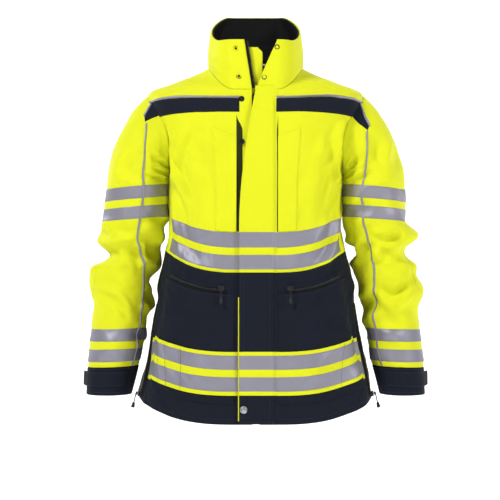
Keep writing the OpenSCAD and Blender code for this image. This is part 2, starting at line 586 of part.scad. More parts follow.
module sleeve_piping_right() mirror([1, 0, 0]) sleeve_piping_left();
module forearm_left() color(YELLOW) tube(steps(7, elbow_q + seam_gap, cuff_q - seam_gap / 2), -shell, 0);
module forearm_right() mirror([1, 0, 0]) forearm_left();
module forearm_tapes_left() color(SILVER) for (drop = [507, 546]) arm_tape(drop);
module forearm_tapes_right() mirror([1, 0, 0]) forearm_tapes_left();
module forearm_piping_left() color(SILVER) piping(steps(5, elbow_q + seam_gap, cuff_q - 3));
module forearm_piping_right() mirror([1, 0, 0]) forearm_piping_left();
module cuff_left() color(NAVY) tube(steps(3, cuff_q + seam_gap / 2, arm_q(cuff_drop)), -shell, 0);
module cuff_right() mirror([1, 0, 0]) cuff_left();
// The tab is sewn at its inner end, on the front of the cuff, and closes round the outer side
tab_turns = [128, 2];
module cuff_tab_left() color(NAVY)
    sheet(sleeve, steps(8, tab_turns[1], tab_turns[0]), [arm_q(cuff_seam_drop + 8), arm_q(cuff_seam_drop + 36)],
        function (p, q) [p, q], layer_gap + 0.3, layer_gap + 2.3);
module cuff_tab_right() mirror([1, 0, 0]) cuff_tab_left();

front_upper_right();
front_upper_left();
front_lower_right();
front_lower_left();
back_yoke();
back_upper();
back_lower();
side_upper_right();
side_upper_left();
side_lower_right();
side_lower_left();
chest_bands();
chest_piping();
shoulder_patches();
chest_pockets();
collar_shell();
collar_lining();
wind_guard();
body_lining();
hanger_loop();
zip_tapes();
zip_teeth();
main_zip_slider();
main_zip_puller();
snap_studs();
storm_flap_upper();
storm_flap_lower();
flap_tapes();
flap_snaps();
body_tapes();
hem_band_backing();
hand_pocket_right();
hand_pocket_left();
pocket_zips();
pocket_slider_right();
pocket_slider_left();
pocket_pull_right();
pocket_pull_left();
side_zips();
side_slider_right();
side_slider_left();
side_pull_right();
side_pull_left();
sleeve_right();
sleeve_left();
arm_tapes_right();
arm_tapes_left();
sleeve_piping_right();
sleeve_piping_left();
forearm_right();
forearm_left();
forearm_tapes_right();
forearm_tapes_left();
forearm_piping_right();
forearm_piping_left();
cuff_right();
cuff_left();
cuff_tab_right();
cuff_tab_left();
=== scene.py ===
"""Dresses the high-visibility coat: cloth, tapes, zips, snaps and cords laid round its CAD frame.

Lengths are in millimetres inside the forms and in metres in every mesh.
"""

import logging
from dataclasses import dataclass, field
from enum import Enum
from typing import Callable, Optional, Sequence

import bpy
import numpy as np
from mathutils import Matrix, Vector

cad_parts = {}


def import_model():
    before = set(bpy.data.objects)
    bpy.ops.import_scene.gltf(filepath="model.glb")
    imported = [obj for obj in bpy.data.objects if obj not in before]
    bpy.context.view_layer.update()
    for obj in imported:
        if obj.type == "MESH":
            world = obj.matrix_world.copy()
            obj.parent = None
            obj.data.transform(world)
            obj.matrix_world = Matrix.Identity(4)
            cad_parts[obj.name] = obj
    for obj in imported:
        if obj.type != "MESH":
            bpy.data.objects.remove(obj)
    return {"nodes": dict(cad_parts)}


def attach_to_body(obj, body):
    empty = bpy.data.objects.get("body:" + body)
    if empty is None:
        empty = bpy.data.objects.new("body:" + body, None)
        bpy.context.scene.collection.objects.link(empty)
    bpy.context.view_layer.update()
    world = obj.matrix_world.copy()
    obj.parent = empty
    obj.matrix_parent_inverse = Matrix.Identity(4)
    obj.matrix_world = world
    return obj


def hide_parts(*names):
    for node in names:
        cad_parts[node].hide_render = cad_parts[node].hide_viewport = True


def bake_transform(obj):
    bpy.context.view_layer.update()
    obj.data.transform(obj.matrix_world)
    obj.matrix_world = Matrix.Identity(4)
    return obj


LOG = logging.getLogger("coat")
MM = 0.001
DEGREE = np.pi / 180
Array = np.ndarray
Spot = tuple[Array, Array]


class Side(Enum):
    """The wearer's side, as the sign of X."""

    LEFT = 1
    RIGHT = -1

    @property
    def word(self) -> str:
        """The side's name, as node and body names end."""
        return self.name.lower()


class Held(Enum):
    """How a sheet of cloth is held."""

    STRETCHED = "stretched"
    HUNG = "hung"


# ---------------------------------------------------------------- small sums


def mix(a: float, b: float, k: float) -> float:
    """Returns the value that is the share k of the way from a to b."""
    return a + (b - a) * k


def smooth(k: Array) -> Array:
    """Returns k clipped to 0..1 and eased at both ends."""
    c = np.clip(k, 0, 1)
    return c * c * (3 - 2 * c)


def unit(v: Array) -> Array:
    """Returns the vectors of v scaled to length 1."""
    return v / np.maximum(np.linalg.norm(v, axis=-1, keepdims=True), 1e-12)


def curve(rows: Array, x: Array, column: int) -> Array:
    """Reads a smooth curve through a table.

    Args:
        rows: The table, with its first column rising.
        x: Where to read.
        column: Which column.

    Returns:
        The column's values at x, by cubic pieces.
    """
    x = np.asarray(x, float)
    count = len(rows)
    i = np.clip(np.searchsorted(rows[:, 0], x, side="left") - 1, 0, count - 2)
    low = np.maximum(np.arange(count) - 1, 0)
    high = np.minimum(np.arange(count) + 1, count - 1)
    slope = (rows[high, column] - rows[low, column]) / (rows[high, 0] - rows[low, 0])
    h = rows[i + 1, 0] - rows[i, 0]
    k = (x - rows[i, 0]) / h
    return (
        (1 + 2 * k) * (1 - k) ** 2 * rows[i, column] + k * (1 - k) ** 2 * slope[i] * h + k * k * (3 - 2 * k)
        * rows[i + 1, column] + k * k * (k - 1) * slope[i + 1] * h
    )


def wrapped(t: Array) -> Array:
    """Returns turns as -180..180 degrees."""
    return (np.asarray(t, float) + 180) % 360 - 180


def pair(a: Array, b: Array) -> Spot:
    """Returns two grids of numbers in one shape."""
    a, b = np.broadcast_arrays(np.asarray(a, float), np.asarray(b, float))
    return a, b


def as_is(a: Array, b: Array) -> Spot:
    """Places a cut's own lines straight on its form."""
    return a, b


def lengths(line: Array) -> Array:
    """Returns how far along a line each of its points is."""
    return np.concatenate([[0], np.linalg.norm(np.diff(line, axis=0), axis=1).cumsum()])


def read(at: Array, far: Array, values: Array) -> Array:
    """Returns a line's values at distances along it."""
    return np.stack([np.interp(at, far, values[:, i]) for i in range(3)], -1)


def heading(at: Array, far: Array, line: Array, reach: float) -> Array:
    """Returns a line's directions at distances along it."""
    return unit(read(at + reach, far, line) - read(at - reach, far, line))


def steps(low: float, high: float, spacing: float, edge: bool = True) -> Array:
    """Returns the places of a grid's lines along a cut.

    Args:
        low: The first edge, in millimetres.
        high: The other edge, in millimetres.
        spacing: The distance between lines.
        edge: Whether close lines follow each edge, to roll it over.

    Returns:
        The places, rising.
    """
    count = max(2, int(round((high - low) / spacing)))
    places = list(np.linspace(low, high, count + 1))
    if edge and high - low > 8:
        places += [low + 0.5, low + 1.6, high - 0.5, high - 1.6]
    return np.unique(np.round(places, 4))


def new_shape(kind: str, **settings: object) -> bpy.types.Object:
    """Adds a mesh primitive, with nothing else selected."""
    bpy.ops.object.select_all(action="DESELECT")
    getattr(bpy.ops.mesh, f"primitive_{kind}_add")(**settings)
    return bpy.context.active_object


# ---------------------------------------------------------------- folds of the cloth


@dataclass(frozen=True)
class Crease:
    """One fold line on a skin, in its own unrolled millimetres."""

    x0: float
    y0: float
    x1: float
    y1: float
    width: float
    depth: float
    bow: float = 0.0

    def height(self, x: Array, y: Array) -> Array:
        """Returns how far the crease lifts the cloth at x, y."""
        along = np.array([self.x1 - self.x0, self.y1 - self.y0])
        length = float(np.hypot(*along))
        along = along / length
        k = ((x - self.x0) * along[0] + (y - self.y0) * along[1]) / length
        off = -(x - self.x0) * along[1] + (y - self.y0) * along[0]
        inner = np.clip(k, 0, 1)
        off = off - self.bow * 4 * inner * (1 - inner)
        past = np.maximum(0, np.abs(k - 0.5) - 0.5) * length
        fade = np.sin(np.pi * np.clip(0.06 + 0.88 * k, 0, 1)) ** 0.8
        fade = fade * np.exp(-((past / (1.2 * self.width)) ** 2))
        d = off / self.width
        ridge = np.exp(-(d**2)) - 0.62 * np.exp(-((np.abs(d) - 1.55) ** 2) * 1.6)
        return self.depth * fade * ridge


def creases(*rows: tuple) -> tuple[Crease, ...]:
    """Returns a crease for each row of its values."""
    return tuple(Crease(*row) for row in rows)


@dataclass(frozen=True)
class Ripple:
    """Fine random wrinkling of a given size, the same at each run."""

    seed: int
    wave: float
    height_mm: float
    stretch: float = 1.0

    def height(self, x: Array, y: Array) -> Array:
        """Returns the wrinkles' lift at x, y."""
        rng = np.random.default_rng(self.seed)
        total = np.zeros_like(np.asarray(x, float) + np.asarray(y, float))
        warp_x = 0.45 * self.wave * np.sin(y / self.wave * 1.7 + rng.uniform(0, 6))
        warp_y = 0.45 * self.wave * np.sin(x / self.wave * 1.3 + rng.uniform(0, 6))
        for _ in range(9):
            angle = rng.uniform(0, np.pi)
            rate = 2 * np.pi / (self.wave * rng.uniform(0.75, 1.6))
            phase = rng.uniform(0, 2 * np.pi)
            total += np.sin(
                rate * ((x + warp_x) * np.cos(angle) * self.stretch + (y + warp_y) * np.sin(angle)) + phase
            )
        soft = total / 3.0
        return self.height_mm * (1.15 - np.abs(soft)) * 0.8


# ---------------------------------------------------------------- the coat's forms


class Form:
    """A surface that cloth is laid on, by two coordinates."""

    def fold(self, a: Array, b: Array) -> Array:
        """Returns how far the cloth's folds lift it: not at all, unless the form says so."""
        return 0 * a

    def skin(self, a: Array, b: Array, off: Array = 0) -> Array:
        """Returns the points of the folded cloth, lifted off it by off."""
        a, b = pair(a, b)
        lift = np.asarray(off, float) + self.fold(a, b)
        return self.at(a, b) + lift[..., None] * self.normal(a, b)


@dataclass
class BodyForm(Form):
    """The coat's body: t is the turn from the front centre and s the side height."""

    neck_half_width: float = 92.0
    shoulder_half_width: float = 208.0
    chest_half_width: float = 164.0
    hem_half_width: float = 226.0
    hem: float = -640.0
    waist: float = -357.0
    neck_front_depth: float = 104.0
    neck_back_depth: float = 66.0
    neck_dip: float = 50.0
    lean: float = 0.075
    flat: float = 40.0
    flat_turn: float = 10.0
    arm_top: float = 52.0
    arm_height: float = 143.0
    arm_reach: float = 68.0
    seam_turn: float = 72.0
    side_zip_turn: float = 79.0
    unrolled: float = 2.9
    rows: Array = field(init=False)
    creases: Sequence[Crease] = ()
    ripples: Sequence[Ripple] = ()

    def __post_init__(self) -> None:
        """Works out the section table from the sizes."""
        waist_w = self.chest_half_width - 2
        chest, shoulder, neck = self.chest_half_width, self.shoulder_half_width, self.neck_half_width

        def flare(k: float) -> float:
            """Returns the half width at the share k from waist to hem."""
            return mix(waist_w, self.hem_half_width, k)

        self.arm_mid = -self.arm_top - self.arm_height / 2
        self.arm_half = self.arm_height / 2
        self.rows = np.array(
            [
                [self.hem - 40, 44, 6, flare(1.1), 152, 2.6],
                [self.hem, 42, 8, self.hem_half_width, 148, 2.6],
                [self.hem * 0.875, 36, 10, flare(0.73), 138, 2.6],
                [self.hem * 0.75, 34, 12, flare(0.51), 128, 2.6],
                [self.hem * 0.625, 40, 12, flare(0.27), 120, 2.6],
                [self.hem * 0.53, 40, 12, flare(0.07), 116, 2.55], [-290, 34, 12, waist_w, 118, 2.5],
                [-230, 28, 12, chest, 124, 2.5], [self.arm_mid - self.arm_half, 25, 12, chest + 4, 127, 2.5],
                [-150, 24, 12, mix(chest, shoulder, 0.39), 126, 2.45],
                [-100, 25, 12, mix(chest, shoulder, 0.8), 118, 2.35],
                [-self.arm_top, 30, 14, shoulder, 104, 2.2],
                [-28, 40, 16, mix(neck, shoulder, 0.52), 88, 2.1],
                [0, self.neck_dip, 15, neck, self.neck_back_depth, 2],
                [24, self.neck_dip + 2, 15, neck - 20, self.neck_back_depth - 12, 2]
            ],
            float
        )

    def dip(self, s: Array) -> Array:
        """Returns how far the front hangs below the side height s."""
        return curve(self.rows, s, 1)

    def front_depth(self, s: Array) -> Array:
        """Returns the distance from the middle to the front."""
        return self.neck_front_depth + self.lean * (self.dip(s) - s - self.neck_dip)

    def back_depth(self, s: Array) -> Array:
        """Returns the distance from the middle to the back."""
        return curve(self.rows, s, 4)

    def round_turn(self, v: Array) -> Array:
        """Returns the section's own angle for a turn v of 0..90 degrees."""
        return np.where(v <= self.flat_turn, 0, (v - self.flat_turn) / (90 - self.flat_turn) * 90)

    def across(self, v: Array, half: Array, power: Array) -> Array:
        """Returns the distance to the side at a turn."""
        r = self.round_turn(v)
        bend = self.flat + (half - self.flat) * np.abs(np.sin(r * DEGREE)) ** (2 / power)
        return np.where(v <= self.flat_turn, self.flat * v / self.flat_turn, bend)

    def inward(self, v: Array, power: Array) -> Array:
        """Returns the share of the depth left at a turn."""
        return np.clip(np.cos(self.round_turn(v) * DEGREE), 0, 1) ** (2 / power)

    def at(self, t: Array, s: Array) -> Array:
        """Returns the points of the smooth form."""
        t, s = pair(t, s)
        turn = wrapped(t)
        u = np.abs(turn)
        v = np.where(u <= 90, u, 180 - u)
        w = np.cos(self.round_turn(v) * DEGREE) ** 2
        power = curve(self.rows, s, 5)
        front = u <= 90
        x = np.where(turn < 0, -1, 1) * self.across(v, curve(self.rows, s, 3), power)
        y = self.inward(v, power) * np.where(front, -self.front_depth(s), self.back_depth(s))
        z = s + w * np.where(front, -self.dip(s), curve(self.rows, s, 2))
        return np.stack([x, y, z], -1)

    def normal(self, t: Array, s: Array) -> Array:
        """Returns the outward directions of the smooth form."""
        along = self.at(np.asarray(t) + 0.4, s) - self.at(np.asarray(t) - 0.4, s)
        up = self.at(t, np.asarray(s) + 1) - self.at(t, np.asarray(s) - 1)
        return unit(np.cross(along, up))

    def fold(self, t: Array, s: Array) -> Array:
        """Returns how far the folds lift the cloth, less near the neck, armholes, front strip and zips."""
        turn = wrapped(t)
        s = np.asarray(s, float)
        total = 0.0
        for shift in (-360, 0, 360):
            x = (turn + shift) * self.unrolled
            near = [c for c in self.creases if abs((c.x0 + c.x1) / 2 / self.unrolled - shift) < 250]
            total = total + sum(c.height(x, s) for c in near)
        round_x, round_y = 190 * np.sin(turn * DEGREE), 150 * np.cos(turn * DEGREE)
        total = total + sum(r.height(round_x + 0.45 * round_y, s + 0.8 * round_y) for r in self.ripples)
        side = np.abs(wrapped(t))
        calm = smooth((side - 8) / 14)
        high = 1 - smooth((s + 60) / 50)
        reach = np.hypot((np.minimum(side, 180 - side) - 80) / 14, (s - self.arm_mid) / 62)
        armhole = smooth((reach - 1.15) / 0.6)
        side_zip = np.hypot((side - self.side_zip_turn) / 9, np.maximum(0, s + 465) / 30)
        hand_zip = np.hypot(np.maximum(0, np.abs(side - 24) - 12) / 6, (s + 382) / 24)
        zipped = smooth(np.minimum(side_zip, hand_zip) - 0.4)
        return total * np.where(
            side < 90, mix(0.12, 1, calm), 1
        ) * high * mix(0.15, 1, armhole) * mix(0.25, 1, zipped)

    def turn_for(self, x: float) -> float:
        """Returns the turn at which the flat front strip is x from the centre."""
        return x / self.flat * self.flat_turn

    def side_height(self, t: Array, z: Array) -> Array:
        """Returns the side height at which the form reaches height z."""
        v = np.abs(wrapped(t))
        v = np.where(v <= 90, v, 180 - v)
        w = np.cos(self.round_turn(v) * DEGREE) ** 2
        found = z
        for _ in range(4):
            found = z + w * self.dip(found)
        return found

    def arm_turn(self, s: Array, depth: Array) -> Array:
        """Returns the turn at which the armhole's edge passes the side height s."""
        k = (s - self.arm_mid) / self.arm_half
        open_share = np.clip(1 - k * k, 0, 1)
        angle = np.clip((self.arm_reach * np.sqrt(open_share) / depth) ** (curve(self.rows, s, 5) / 2), 0, 1)
        edge = self.flat_turn + np.arccos(angle) / DEGREE / 90 * (90 - self.flat_turn)
        return np.where(np.abs(k) >= 1, 90, edge)

    def front_side(self, s: Array) -> Array:
        """Returns the turn where the front panels end."""
        a = self.arm_turn(s, self.front_depth(s))
        return np.where(np.asarray(s) < self.arm_mid, np.minimum(self.seam_turn, a), a)

    def back_side(self, s: Array) -> Array:
        """Returns the turn where the back panels start."""
        a = self.arm_turn(s, self.back_depth(s))
        return 180 - np.where(np.asarray(s) < self.arm_mid, np.minimum(self.seam_turn, a), a)

    def armhole(self, p: Array) -> Array:
        """Returns the armhole's edge at the sleeve turns p."""
        s = self.arm_mid + self.arm_half * np.cos(p * DEGREE)
        front = (p % 360) <= 180
        a = self.arm_turn(s, np.where(front, self.front_depth(s), self.back_depth(s)))
        return self.at(np.where(front, a, 180 - a), s)

    def side_top(self, t: Array) -> Array:
        """Returns the side height of the armpit above the side panel."""
        v = np.where(t <= 90, t, 180 - t)
        low = self.arm_mid - self.arm_half
        depth = np.where(t <= 90, self.front_depth(low), self.back_depth(low))
        y = self.inward(v, curve(self.rows, low, 5)) * depth
        return self.arm_mid - self.arm_half * np.sqrt(np.maximum(0, 1 - (y / self.arm_reach) ** 2))


@dataclass
class SleeveForm(Form):
    """A sleeve: p is the turn from its outer side to the front, q runs from -1 at the armhole to 0
    at the cap's end and then in millimetres down the arm."""

    body: BodyForm
    side: Side
    half_width: float = 60.0
    half_depth: float = 74.0
    cuff_half: float = 43.0
    cuff_seam: float = -580.0
    cuff_end: float = -634.0
    elbow: float = -385.0
    unrolled: float = 1.12
    creases: Sequence[Crease] = ()
    ripples: Sequence[Ripple] = ()

    def __post_init__(self) -> None:
        """Works out the ring table from the sizes."""
        self.start = self.body.arm_mid - self.body.arm_half - 27
        w, d, c = self.half_width, self.half_depth, self.cuff_half
        self.rows = np.array(
            [
                [self.cuff_end - 40, 18, -40, c - 2, c + 3, 0], [self.cuff_end, 17, -30, c, c + 4, 0],
                [self.cuff_seam, 15, -20, c + 6, c + 9, 0.04],
                [-510, 17, -8, mix(c, w, 0.47), mix(c, d, 0.48), 0.03], [-455, 15, 0, w - 3, d - 10, 0.02],
                [-378, 20, 6, w - 3, d - 8, 0.03], [-300, 9, 4, w + 4, d - 2, 0.08],
                [self.start, 5, 2, w, d, 0.09], [self.start + 60, 5, 2, w, d, 0.09]
            ],
            float
        )

    def ring(self, p: Array, z: Array) -> Array:
        """Returns points of the tube below the cap, on the left sleeve."""
        c = np.cos(p * DEGREE)
        half = curve(self.rows, z, 3)
        x = curve(self.body.rows, z, 3) + curve(self.rows, z, 1) + half
        y = curve(self.rows, z, 2) - curve(self.rows, z, 4) * np.sin(p * DEGREE)
        return np.stack(np.broadcast_arrays(x + half * c, y, z - curve(self.rows, z, 5) * half * c), -1)

    def cap(self, p: Array, k: Array) -> Array:
        """Returns points of the cap, from the armhole at k 0 to the tube at k 1."""
        a = self.body.armhole(p)
        b = self.ring(p, self.start + 0 * p)
        reach = np.linalg.norm(b - a, axis=-1)[..., None]
        top = (1 + np.cos(p * DEGREE)) / 2
        out = unit(np.stack([mix(0.15, 0.85, np.minimum(1, 2.2 * top)), 0 * p, -mix(1, 0.62, top)], -1))
        down = unit(self.ring(p, self.start - 1 + 0 * p) - self.ring(p, self.start + 1 + 0 * p))
        k = k[..., None]
        return (
            (1 + 2 * k) * (1 - k) ** 2 * a + k * (1 - k) ** 2 * reach * 0.8 * out + k * k * (3 - 2 * k) * b
            + k * k * (k - 1) * reach * 0.9 * down
        )

    def left_at(self, p: Array, q: Array) -> Array:
        """Returns points of the smooth left sleeve."""
        p, q = pair(p, q)
        cap = self.cap(p, np.minimum(q, 0) + 1)
        return np.where((q < 0)[..., None], cap, self.ring(p, self.start - np.maximum(q, 0)))

    def at(self, p: Array, q: Array) -> Array:
        """Returns points of this side's smooth sleeve."""
        return self.left_at(p, q) * np.array([self.side.value, 1, 1])

    def normal(self, p: Array, q: Array) -> Array:
        """Returns the outward directions."""
        p, q = pair(p, q)
        e = np.where(q <= 0, 0.01, 1)
        n = np.cross(
            self.left_at(p + 1, q) - self.left_at(p - 1, q), self.left_at(p, q + e) - self.left_at(p, q - e)
        )
        return unit(n) * np.array([self.side.value, 1, 1])

    def drop(self, q: Array) -> Array:
        """Returns q as millimetres down the sleeve, cap included."""
        return np.where(q < 0, q * 150, q)

    def fold(self, p: Array, q: Array) -> Array:
        """Returns how far the folds lift the cloth, none at the armhole."""
        y = self.drop(np.asarray(q, float))
        total = 0.0
        for shift in (-360, 0, 360):
            x = (wrapped(p) + shift) * self.unrolled
            total = total + sum(c.height(x, y) for c in self.creases)
        x = np.cos(np.asarray(p) * DEGREE) * 62
        x2 = np.sin(np.asarray(p) * DEGREE) * 62
        total = total + sum(r.height(x + 0.35 * x2, y + 0.8 * x2) for r in self.ripples)
        end = self.start - self.cuff_seam
        calm = smooth((y + 146) / 60) * mix(0.25, 1, 1 - smooth((y - end + 16) / 16))
        return total * calm

    def down(self, z: float) -> float:
        """Returns q at height z below the cap."""
        return self.start - z


@dataclass
class CollarForm(Form):
    """The stand collar: t as on the body, h from 0 at the neck seam to 1 at its top edge."""

    body: BodyForm
    half_width: float = 87.0
    front_height: float = 96.0
    back_height: float = 84.0
    ripples: Sequence[Ripple] = ()

    def top(self, t: Array) -> Array:
        """Returns the points of the top edge."""
        turn = wrapped(t)
        u = np.abs(turn)
        v = np.where(u <= 90, u, 180 - u)
        back = smooth((u - 40) / 110)
        half = self.half_width - 12 * smooth((u - 90) / 60)
        depth = np.where(u <= 90, 6 - self.body.neck_front_depth, self.body.neck_back_depth - 6)
        x = np.where(turn < 0, -1, 1) * self.body.across(v, half, 2.1)
        z = mix(self.front_height - self.body.neck_dip, self.back_height + 24, back)
        return np.stack([x, self.body.inward(v, 2.1) * depth, z], -1)

    def at(self, t: Array, h: Array) -> Array:
        """Returns the points of the smooth collar, with a soft bulge and a rolled top."""
        t, h = pair(t, h)
        foot = self.body.at(t, 0 * t)
        return foot + (self.top(t) - foot) * h[..., None]

    def normal(self, t: Array, h: Array) -> Array:
        """Returns the outward directions."""
        t, h = pair(t, h)
        along = self.at(t + 0.4, h) - self.at(t - 0.4, h)
        return unit(np.cross(along, self.at(t, h + 0.01) - self.at(t, h - 0.01)))

    def fold(self, t: Array, h: Array) -> Array:
        """Returns the collar's small wrinkles and its soft bulge."""
        x = wrapped(t) * 1.6
        ripple = sum(r.height(x, h * 95) for r in self.ripples) * np.sin(np.pi * np.clip(h, 0, 1)) ** 0.5
        return ripple + 2.2 * np.sin(np.pi * np.clip(h, 0, 1))

    def left_edge(self, h: Array) -> Array:
        """Returns the turn of the wearer's left front edge, folded open."""
        return self.body.turn_for(0.5 + 41 * np.clip(h, 0, 2) ** 1.1)

    def right_edge(self, h: Array) -> Array:
        """Returns the turn of the wearer's right front edge."""
        return 360 - self.body.turn_for(7 + 15 * h)


# ---------------------------------------------------------------- finishes


def linear(code: str) -> tuple[float, float, float, float]:
    """Returns an sRGB hex colour as linear light, with alpha."""
    channels = [int(code[i : i + 2], 16) / 255 for i in (1, 3, 5)]
    light = [c / 12.92 if c <= 0.04045 else ((c + 0.055) / 1.055) ** 2.4 for c in channels]
    return (light[0], light[1], light[2], 1.0)


def add_node(tree: bpy.types.NodeTree, kind: str, settings: dict, inputs: dict) -> bpy.types.Node:
    """Adds a shader node, sets it and links it.

    Args:
        tree: The material's node tree.
        kind: The node's type, after its prefix.
        settings: Attributes to set.
        inputs: For each input's name or number, a value or the socket to link.

    Returns:
        The node.
    """
    made = tree.nodes.new("ShaderNode" + kind)
    for name, value in settings.items():
        setattr(made, name, value)
    fill(made, inputs)
    return made


def fill(node: bpy.types.Node, inputs: dict) -> None:
    """Sets or links a node's inputs."""
    for name, value in inputs.items():
        if isinstance(value, bpy.types.NodeSocket):
            node.id_data.links.new(value, node.inputs[name])
        else:
            node.inputs[name].default_value = value


def new_material(name: str) -> tuple[bpy.types.Material, bpy.types.NodeTree, bpy.types.Node]:
    """Returns a new material, its tree and its shader."""
    made = bpy.data.materials.new(name)
    made.use_nodes = True
    return made, made.node_tree, made.node_tree.nodes["Principled BSDF"]


@dataclass(frozen=True)
class WovenCloth:
    """Plain or twill woven polyester: its threads catch the light in fine crossing lines."""

    name: str
    slot: str
    colour: str
    shade: str
    roughness: float = 0.75
    sheen: float = 0.15
    thread_mm: float = 1.1
    thread_bump: float = 0.25
    crumple_mm: float = 9.0
    crumple_bump: float = 0.12
    metallic: float = 0.0
    thread_shade: float = 0.25
    specular: float = 0.18

    def material(self) -> bpy.types.Material:
        """Builds the finish. The weave is drawn about twice as coarse as it is, so that it shows, and it
        darkens the colour between the threads as painted shade in the weave's grooves.
        """
        made, tree, shader = new_material(self.name)
        place = add_node(tree, "TexCoord", {}, {}).outputs
        threads = {
            "Vector": place["UV"], "Scale": 0.314 / (self.thread_mm * MM), "Distortion": 0.4, "Detail": 1.0
        }
        waves = {}
        for number, way in enumerate("XY"):
            wave = add_node(tree, "TexWave", {"bands_direction": way, "wave_profile": "SIN"}, threads)
            waves[number] = wave.outputs["Fac"]
        weave = add_node(tree, "Math", {"operation": "MULTIPLY"}, waves).outputs[0]
        size = 1 / (self.crumple_mm * MM)
        crumple = add_node(tree, "TexNoise", {}, {"Vector": place["Object"], "Scale": size, "Detail": 3.0})
        cloudy = add_node(tree, "TexNoise", {}, {"Vector": place["Object"], "Scale": 14.0, "Detail": 4.0})
        tones = {0: cloudy.outputs["Fac"], 6: linear(self.colour), 7: linear(self.shade)}
        tone = add_node(tree, "Mix", {"data_type": "RGBA"}, tones).outputs[2]
        # painted shade: the weave darkens the colour between the threads, standing for the shade in its
        # grooves
        weave_shade = add_node(
            tree, "MapRange", {}, {"Value": weave, "To Min": 1 - self.thread_shade, "To Max": 1.0}
        )
        both = {0: 1.0, 6: tone, 7: weave_shade.outputs[0]}
        colour = add_node(tree, "Mix", {"data_type": "RGBA", "blend_type": "MULTIPLY"}, both).outputs[2]
        creased = {"Strength": self.crumple_bump, "Distance": 0.002, "Height": crumple.outputs["Fac"]}
        low = add_node(tree, "Bump", {}, creased).outputs["Normal"]
        woven = {"Strength": self.thread_bump, "Distance": 0.0004, "Height": weave, "Normal": low}
        fine = add_node(tree, "Bump", {}, woven).outputs["Normal"]
        fill(
            shader,
            {"Base Color": colour, "Normal": fine, "Roughness": self.roughness, "Metallic": self.metallic}
        )
        fill(
            shader, {"Specular IOR Level": self.specular, "Sheen Weight": self.sheen, "Sheen Roughness": 0.5}
        )
        return made


@dataclass(frozen=True)
class HardFinish:
    """Moulded plastic or plated metal: smooth with a fine grain, worn lighter at touched places."""

    name: str
    slot: str
    colour: str
    worn: str
    roughness: float = 0.4
    metallic: float = 0.0
    grain_mm: float = 0.6
    grain_bump: float = 0.08

    def material(self) -> bpy.types.Material:
        """Builds the finish."""
        made, tree, shader = new_material(self.name)
        place = add_node(tree, "TexCoord", {}, {}).outputs["Object"]
        size = 1 / (self.grain_mm * MM)
        grain = add_node(
            tree, "TexNoise", {}, {"Vector": place, "Scale": size, "Detail": 2.0}
        ).outputs["Fac"]
        wear = add_node(
            tree, "TexNoise", {}, {"Vector": place, "Scale": 180.0, "Detail": 3.0}
        ).outputs["Fac"]
        colours = {0: wear, 6: linear(self.colour), 7: linear(self.worn)}
        colour = add_node(tree, "Mix", {"data_type": "RGBA"}, colours).outputs[2]
        shine = {"Value": wear, "To Min": self.roughness * 0.85, "To Max": self.roughness * 1.2}
        gloss = add_node(tree, "MapRange", {}, shine).outputs[0]
        rough = {"Strength": self.grain_bump, "Distance": 0.0003, "Height": grain}
        bump = add_node(tree, "Bump", {}, rough).outputs["Normal"]
        fill(shader, {"Base Color": colour, "Metallic": self.metallic, "Roughness": gloss, "Normal": bump})
        return made


class Finish(Enum):
    """The coat's finishes."""

    # dyed polyester so bright that it flattens its own shading; the threads barely show
    YELLOW = WovenCloth(
        "fluorescent_polyester", "hi_vis_shell", "#DFE31F", "#D8DD14", 0.75, 0.04, thread_shade=0.06
    )
    # matt twill that drinks the light, so only its folds and seams show
    NAVY = WovenCloth("navy_twill", "navy_shell", "#151A29", "#111621", 0.85, 0.02, crumple_bump=0.2)
    NAVY_TAB = WovenCloth("navy_tab_twill", "navy_tab", "#151A29", "#111621", 0.85, 0.02, crumple_bump=0.2)
    # fine glass beads on cloth: a grey satin that brightens in soft patches
    SILVER = WovenCloth(
        "glass_bead_tape", "reflective_tape", "#9997A3", "#898794", 0.5, 0.0, 0.9, 0.2, 16.0, 0.12,
        metallic=0.4, thread_shade=0.1, specular=0.5
    )
    # slippery lining, black with faint broad wrinkles
    LINING = WovenCloth(
        "black_taffeta", "black_lining", "#0B0C0D", "#070808", 0.6, 0.02, 1.4, 0.2, 14.0, 0.35
    )
    # coarse flat tape that carries a zip
    ZIP_TAPE = WovenCloth(
        "zip_tape_twill", "black_lining", "#0E0E10", "#09090A", 0.8, 0.05, 1.2, 0.4, 12.0, 0.1
    )
    # painted shade: yellow cloth darkened to olive, laid in the gap by the chest pocket's edge where the
    # shadow falls
    OLIVE = WovenCloth("pocket_mouth_shade", "black_lining", "#34380C", "#26290A", 0.85, 0.05)
    # a bed of stiff hooks, rough and dull
    HOOKS = WovenCloth("hook_fastener", "black_lining", "#0D0D0F", "#060607", 0.95, 0.3, 1.7, 1.0, 3.0, 0.6)
    # sewing threads, a shade off the cloth they hold
    THREAD_YELLOW = HardFinish("yellow_thread", "hi_vis_shell", "#DDEB2A", "#CFE020", 0.7)
    THREAD_NAVY = HardFinish("navy_thread", "navy_shell", "#232A3D", "#1B2132", 0.7)
    THREAD_GREY = HardFinish("grey_thread", "reflective_tape", "#8C8A94", "#7A7882", 0.7)
    # moulded teeth, sliders and box: black with a low gloss
    PLASTIC = HardFinish("moulded_acetal", "black_plastic", "#101012", "#1A1A1D", 0.38)
    # braided pull cord and its soft end: dull and grainy
    CORD = HardFinish("braided_cord", "black_plastic", "#141518", "#222328", 0.8, 0.0, 1.2, 0.8)
    # dark plated brass snaps and a bright brushed cap
    METAL = HardFinish("gunmetal_plate", "snap_metal", "#26272A", "#4A4C50", 0.28, 1.0)
    STEEL = HardFinish("brushed_steel_cap", "snap_metal", "#9A9A9C", "#B2B2B4", 0.32, 1.0)


